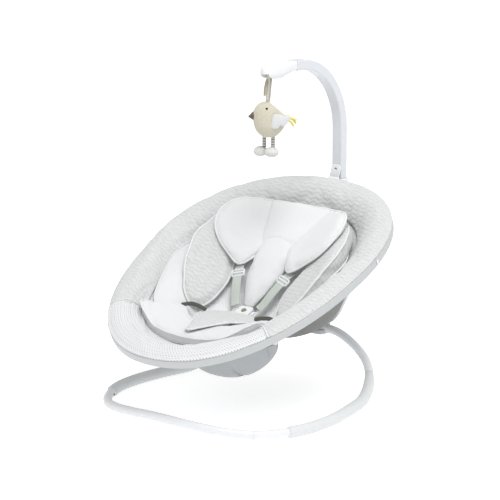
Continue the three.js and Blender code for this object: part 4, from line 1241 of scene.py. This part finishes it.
def add_harness():
    def at_buckle(dx, dy, dz):
        return lambda points: ring(points + BUCKLE + np.array([dx, dy, dz]))

    body = block("buckle_shell", (0.036, 0.030, 0.012), 0.006, 0.0022, WHITE,
                 at_buckle(0, 0, -0.006))
    slots = [block(f"slot_cutter_{s}", (0.020, 0.015, 0.0034), 0.001, 0.0004, None,
                   at_buckle(s * 0.017, 0, -0.0017))
             for s in (1, -1)]
    profile = [(0, 0.002), (0.0062, 0.002), (0.0062, 0.012), (0, 0.012)]
    well = lathe("well_cutter", profile, ring(BUCKLE), RING_OUT, None, 40)
    cut_away(body, *slots, well)
    finish_piece(body, "seat", ["buckle_body"], "grey_plastic")
    profile = [(0, 0.0004), (0.0054, 0.0004), (0.0056, 0.0062), (0.0050, 0.0072),
               (0.0030, 0.0070), (0, 0.0066)]
    button = lathe("release_button", profile, ring(BUCKLE), RING_OUT, BUTTON, 40)
    finish_piece(button, "buckle_button", ["buckle_button"], "button_plastic")

    for side, sign in (("left", 1), ("right", -1)):
        tongue = block(f"{side}_tongue_plate", (0.024, 0.013, 0.0024), 0.0025, 0.0008, WHITE,
                       at_buckle(sign * 0.020, 0, -0.0012))
        eye = block(f"{side}_eye_cutter", (0.003, 0.008, 0.010), 0.001, 0.0003, None,
                    at_buckle(sign * 0.027, 0, -0.005))
        cut_away(tongue, eye)
        finish_piece(tongue, f"{side}_tongue", [f"{side}_tongue"], "white_plastic")

        top, low = adjuster_top(sign), adjuster_low(sign)
        along = unit(low - top)
        across = unit(np.cross(along, PAD_SLOPE))
        out = unit(np.cross(across, along))
        web = strap(f"{side}_shoulder_strap",
                    [top - along * 0.016 - out * 0.005, top, low, [sign * 0.039, -0.014, -0.066],
                     [sign * 0.031, -0.028, -0.073]], 0.022, 0.0016, WEBBING)
        finish_piece(web, "seat", [f"{side}_strap"], "webbing")

        centre = top + along * 0.014
        outline = rounded(0.0285, 0.0155, 0.003, 8)
        path = centre + outline[:, :1] * across + outline[:, 1:] * along
        rows = sweep(path, rounded(0.0036, 0.0054, 0.0013), loop=True, reference=out)
        frame_part = new_object(f"{side}_ladder", *grid(ring(rows), loop=True), WHITE)
        finish_piece(frame_part, f"{side}_adjuster", [f"{side}_adjuster"], "white_plastic")
        ends = np.linspace(-0.0135, 0.0135, 8)[:, None] * across
        rows = sweep(centre + out * 0.0021 + ends, rounded(0.0038, 0.0026, 0.001), reference=out)
        bar = new_object(f"{side}_ladder_bar", *grid(ring(rows)), WHITE)
        finish_piece(bar, f"{side}_adjuster", (), "white_plastic")
    path = BUCKLE + [[0, -0.012, -0.001], [0, -0.034, -0.003], [0, -0.052, -0.004]]
    crotch = strap("crotch_web", path, 0.024, 0.0016, WEBBING, 30)
    finish_piece(crotch, "seat", ["crotch_strap"], "webbing")


# ---- toy arm -----------------------------------------------------------------------------------
def bracket_place(points):
    """The bracket stands on its edge against the arm's front; its lower end flares forward."""
    x, y, z = points.T
    low = np.maximum(0, 0.004 - y)
    p = np.stack([x + 0.0010 - 0.22 * low, -z - 0.0112 - 0.30 * low, y], axis=-1)
    return p + np.array([0, ARM_Y, 0.446]) + SHIFT


def at_ring_end(y, z):
    """Places a block by the ring's head end."""
    return lambda points: ring(points + np.array([0, RING_LENGTH / 2 + y, z]))


def arm_path():
    """Up out of the socket, round the bend, and level to the tip."""
    turn = np.linspace(0, math.pi / 2, 60)
    end_y, top = ARM_Y - ARM_REACH, ARM_BEND_Z + ARM_RISE
    upright = np.column_stack([np.zeros(16), np.full(16, ARM_Y),
                               np.linspace(0.4252, ARM_BEND_Z - 0.004, 16)])
    bend = np.column_stack([np.zeros(60), ARM_Y - ARM_REACH * (1 - np.cos(turn)),
                            ARM_BEND_Z + ARM_RISE * np.sin(turn)])
    level = np.column_stack([np.zeros(6), np.linspace(end_y - 0.002, 0.1640, 6), np.full(6, top)])
    return np.vstack([upright, bend, level])


def tip_rows():
    """The tip swells from the arm's section, droops a little and closes in a round nose."""
    start_y, end_y, top = 0.165, 0.059, ARM_BEND_Z + ARM_RISE
    around = np.arange(48) / 48 * PI2
    nose_steps = 0.9 + 0.1 * np.sin(np.linspace(0.1, math.pi / 2, 12))
    rows = []
    for t in np.concatenate([np.linspace(0, 0.9, 34), nose_steps]):
        nose = max(0.0004, 1 - max(0.0, (t - 0.50) / 0.50) ** 3.2) ** 0.45
        swell = 1.0 + 0.40 * float(smooth(0.05, 0.45, t))
        squared = 0.45 + 0.35 * float(smooth(0, 0.4, t))
        deeper = swell + 0.22 * float(smooth(0.2, 0.7, t))
        half_width = ARM_WIDTH / 2 * swell * nose
        half_depth = ARM_DEPTH / 2 * deeper * (0.22 + 0.78 * nose)
        droop = 0.004 * float(smooth(0.05, 0.6, t))
        rows.append(np.column_stack([
            half_width * power(np.cos(around), squared),
            np.full(48, start_y + (end_y - start_y) * t),
            top + half_depth * power(np.sin(around), squared) - droop]))
    return np.array(rows) + SHIFT


def add_toy_arm():
    housing = block("socket_housing", (0.0330, 0.0280, 0.022), 0.0060, 0.0012, WHITE,
                    at_place(0, ARM_Y, 0.414))
    bore = block("socket_bore", (0.0276, 0.0226, 0.030), 0.0034, 0.0004, None,
                 at_place(0, ARM_Y, 0.4245))
    cut_away(housing, bore)
    finish_piece(housing, "seat", ["arm_socket"], "white_plastic")
    for name, size, corner, fillet, place in (
            ("socket_bracket", (0.0250, 0.046, 0.0045), 0.0085, 0.0014, bracket_place),
            ("socket_clip", (0.030, 0.046, 0.006), 0.004, 0.0015, at_ring_end(-0.007, -0.0075)),
            ("socket_heel", (0.030, 0.014, 0.024), 0.004, 0.0015, at_ring_end(0.009, -0.007))):
        finish_piece(block(name, size, corner, fillet, WHITE, place), "seat", (), "white_plastic")
    profile = [(0, -0.002), (0.0038, -0.002), (0.0038, 0.0006), (0.0030, 0.0012),
               (0.0012, 0.0012), (0.0011, 0.0004), (0, 0.0004)]
    screw_at = np.array([0.0015, ARM_Y - 0.0160, 0.458]) + SHIFT
    screw = lathe("socket_screw_head", profile, screw_at, [0, -1, 0], STEEL, 28)
    finish_piece(screw, "seat", ["socket_screw"], "steel")

    section = rounded(ARM_DEPTH, ARM_WIDTH, 0.0032, 8)
    rows = sweep(arm_path(), section, reference=[1, 0, 0]) + SHIFT
    beam = new_object("arm_beam", *grid(rows), ARM)
    modified(beam, "WEIGHTED_NORMAL", keep_sharp=True)
    finish_piece(beam, "toy_arm", ["toy_arm"], "white_tube")
    tip = new_object("tip_cover", *grid(tip_rows()), WHITE)
    cutter = block("tip_cutter", (0.023, 0.050, 0.022), 0.010, 0.0005, None,
                   at_place(0, HOOK[1] - 0.004, 0.6815))
    cut_away(tip, cutter)
    finish_piece(tip, "toy_arm", ["arm_tip"], "white_plastic")
    pin_path = np.column_stack([np.linspace(-0.010, 0.010, 6), np.zeros(6), np.zeros(6)]) + HOOK
    pin = rod("hook_pin", pin_path + SHIFT, 0.0019, STEEL, 16)
    finish_piece(pin, "toy_arm", ["toy_hook"], "steel")


# ---- plush bird --------------------------------------------------------------------------------
def bird_place(points):
    p = np.asarray(points, float)
    x, y, z = p[..., 0], p[..., 1], p[..., 2]
    c, s = math.cos(BIRD_TURN), math.sin(BIRD_TURN)
    return np.stack([x * c - y * s, x * s + y * c, z], -1) + BIRD + SHIFT


def bird_piece(obj, node, slot):
    return finish_piece(obj, "toy", [node] if node else (), slot)


def ball(name, centre, radii, look, fuzz=0.0, seed=0, steps=28):
    random = np.random.default_rng(seed)
    rows = []
    for a in np.linspace(0.05, math.pi - 0.05, steps):
        b = np.arange(steps * 2) / (steps * 2) * PI2
        r = np.array(radii)[None] * (1 + fuzz * random.standard_normal((len(b), 1)) * math.sin(a))
        rows.append(np.column_stack([np.sin(a) * np.cos(b), np.sin(a) * np.sin(b),
                                     np.full(len(b), math.cos(a))]) * r
                    + np.asarray(centre))
    return new_object(name, *grid(bird_place(np.array(rows))), look)


def felt_shape(name, outline, depth, at_y, look, bulge=0.0):
    """A flat felt cut-out with eased edges, standing in the bird's own side view."""
    curve = spline(np.array(outline) / 1000, 120, closed=True)
    middle = curve.mean(axis=0)
    rows = []
    for turn in np.linspace(0.05, math.pi - 0.05, 16):
        scale = math.sin(turn) ** 0.5
        p = middle + (curve - middle) * scale
        y = at_y + (depth / 2) * power(math.cos(turn), 0.5) + bulge * (1 - scale ** 2)
        rows.append(np.column_stack([p[:, 0], np.full(len(p), float(y)), p[:, 1]]))
    return new_object(name, *grid(bird_place(np.array(rows))), look)


BIRD_PROFILE = np.array([  # height, front, back, half width
    [-38.0, -3, 5, 3], [-36.5, -12, 12, 11], [-32, -20, 19, 17], [-24, -27, 27, 22],
    [-12, -32, 35, 24.5],
    [-3, -33.5, 40, 24], [2, -34, 41, 23.5], [8, -34, 35, 22.5], [16, -34, 27, 20.5],
    [24, -31, 18, 18],
    [31, -26, 9, 14], [36, -19, 2, 9], [38.5, -12, -5, 3]]) / 1000


RIBBON_SECTION = rounded(0.0012, 0.008, 0.0005, 3)


def add_ribbon():
    steps = 90
    loop = spline([[0, 3.6], [-3.6, 0], [-3.6, -18], [-2, -59], [0, -62], [2, -59], [3.6, -18],
                   [3.6, 0]], steps, closed=True)
    slant = 0.075 * (loop[:, 1:] / 1000)
    path = np.column_stack([slant * 0.8, loop / 1000 + slant * [0.6, 0.0]]) + HOOK
    rows = sweep(path, RIBBON_SECTION, loop=True, reference=[1, 0, 0])
    ribbon = new_object("hanging_ribbon", *grid(rows + SHIFT, loop=True), RIBBON)
    set_flat_cloth(ribbon, np.tile(RIBBON_SECTION[:, 1], steps),
                   np.repeat(np.arange(steps) * 0.0015, len(RIBBON_SECTION)))
    bird_piece(ribbon, "ribbon_loop", "plush")
    tail = spline([[-0.002, -0.002, -0.004], [-0.004, -0.007, -0.016], [-0.0055, -0.010, -0.030],
                   [-0.006, -0.011, -0.046]], 30)
    rows = sweep(tail + HOOK, rounded(0.0010, 0.0055, 0.0004, 3), reference=[1, 0, 0])
    loose = new_object("ribbon_loose_end", *grid(rows + SHIFT), RIBBON_EDGE)
    set_cloth(loose, points_of(loose))
    bird_piece(loose, None, "plush")


def bird_rows():
    """Upright egg-shaped sections of the bird's body, closer together at its ends."""
    around = np.arange(64) / 64 * PI2
    shape = spline(BIRD_PROFILE, 400)
    shape = shape[np.argsort(shape[:, 0])]
    low, high = BIRD_PROFILE[0, 0], BIRD_PROFILE[-1, 0]
    rows = []
    for z in low + (high - low) * (0.5 - 0.5 * np.cos(np.linspace(0.02, math.pi - 0.02, 70))):
        front, back, half = (np.interp(z, shape[:, 0], shape[:, i]) for i in (1, 2, 3))
        rows.append(np.column_stack([(front + back) / 2 + (back - front) / 2 * np.cos(around),
                                     half * power(np.sin(around), 0.95), np.full(64, z)]))
    return np.array(rows)


BEAK_SECTIONS = [  # how far out, half height, half width
    (-0.0030, 0.0112, 0.0085), (0.001, 0.0104, 0.0078), (0.005, 0.0076, 0.0058),
    (0.0095, 0.0036, 0.0030), (0.0122, 0.0012, 0.0012), (0.0130, 0.0002, 0.0002)]
FELT_WING = [[9, 13], [16, 16], [28, 13.5], [38, 12], [48, 10], [43, 3], [37, -6], [30, -11],
             [25, -8.5], [19, -15], [10, -16], [5, -11], [6, 2]]


def beak_rows():
    around = np.arange(24) / 24 * PI2
    return np.array([np.column_stack([np.full(24, -0.0315 - out), wide * np.cos(around),
                                      0.0090 - out * 0.15 + high * np.sin(around)])
                     for out, high, wide in BEAK_SECTIONS])


def add_bird():
    add_ribbon()
    body = new_object("bird_plush", *grid(bird_place(bird_rows())), CREAM)
    bird_piece(body, "bird_body", "plush")
    bill = new_object("bird_bill", *grid(bird_place(beak_rows())), BEAK)
    bird_piece(bill, "bird_beak", "beak_felt")

    for side, sign, leg_x, foot_x, wing_drop, seed in (
            ("left", 1, -0.010, -0.018, 0.0, 7), ("right", -1, 0.0085, 0.0055, 0.006, 8)):
        eye = ball(f"bird_{side}_bead", (-0.0050, sign * -0.0170, 0.0262),
                   (0.0027, 0.0018, 0.0027), EYE)
        bird_piece(eye, f"bird_{side}_eye", "eye_black")
        wing = felt_shape(f"bird_{side}_felt_wing", FELT_WING, 0.003, sign * -0.0240, FELT,
                          sign * -0.001)
        if wing_drop:
            set_points(wing, points_of(wing) - [0, 0, wing_drop])
        bird_piece(wing, f"bird_{side}_wing", "felt")
        path = np.array([[leg_x, sign * 0.004, z] for z in np.linspace(-0.034, -0.060, 8)])
        leg = rod(f"bird_{side}_striped_leg", bird_place(path), 0.0042, LEG, 20)
        bird_piece(leg, f"bird_{side}_leg", "felt")
        foot = ball(f"bird_{side}_pompom", (foot_x, sign * 0.0065, -0.0695),
                    (0.0150, 0.0100, 0.0112), FLEECE, 0.022, seed, 34)
        bird_piece(foot, f"bird_{side}_foot", "felt")
    for i, end in enumerate(((0.058, 0.001, -0.009), (0.060, -0.001, -0.001),
                             (0.053, 0.002, -0.016))):
        middle = [0.5 * (0.045 + end[0]), end[1], 0.5 * end[2] + 0.004 - 0.002 * i]
        path = spline([[0.034, 0.0, 0.004 - 0.002 * i], [0.043, 0.001, 0.007 - 0.005 * i], middle,
                       end], 24)
        strand = rod(f"bird_tail_strand_{i + 1}", bird_place(path), 0.0023, YELLOW, 12,
                     round_ends=True)
        bird_piece(strand, "bird_tail" if i == 0 else None, "tail_cord")


# ---- floor and light ---------------------------------------------------------------------------
def add_studio():
    floor = Look("lit_floor", (0.80, 0.80, 0.80), 0.95, Emission_Strength=FLOOR_GLOW)
    floor.shader.inputs["Emission Color"].default_value = (1, 1, 1, 1)
    grain = floor.noise(floor.place(), 160, 3.0)
    floor_look = floor.done(normal=floor.bump(grain, 0.0002, 0.2))
    size = 9.0
    sheet = new_object("floor",
                       [[-size, -size, -0.0004], [size, -size, -0.0004], [size, size, -0.0004],
                        [-size, size, -0.0004]], [(0, 1, 2, 3)], floor_look)
    world = bpy.data.worlds.new("studio")
    bpy.context.scene.world = world
    world.use_nodes = True
    world.node_tree.nodes["Background"].inputs["Color"].default_value = (1, 1, 1, 1)
    world.node_tree.nodes["Background"].inputs["Strength"].default_value = WORLD_LIGHT
    for name, place, energy, width in LAMPS:
        data = bpy.data.lights.new(name, "AREA")
        data.energy = energy
        data.size = width
        lamp = bpy.data.objects.new(name, data)
        lamp.location = place
        lamp.rotation_mode = "QUATERNION"
        lamp.rotation_quaternion = (Vector((0, 0, 0.3)) - Vector(place)).to_track_quat("-Z", "Y")
        bpy.context.scene.collection.objects.link(lamp)
    bpy.context.scene.view_settings.view_transform = "Standard"


add_base()
add_hub()
add_cradle()
add_ring()
add_hammock()
add_insert()
run_simulation()
for job, *arguments in LATER:
    job(*arguments)
add_harness()
add_toy_arm()
add_bird()
add_studio()
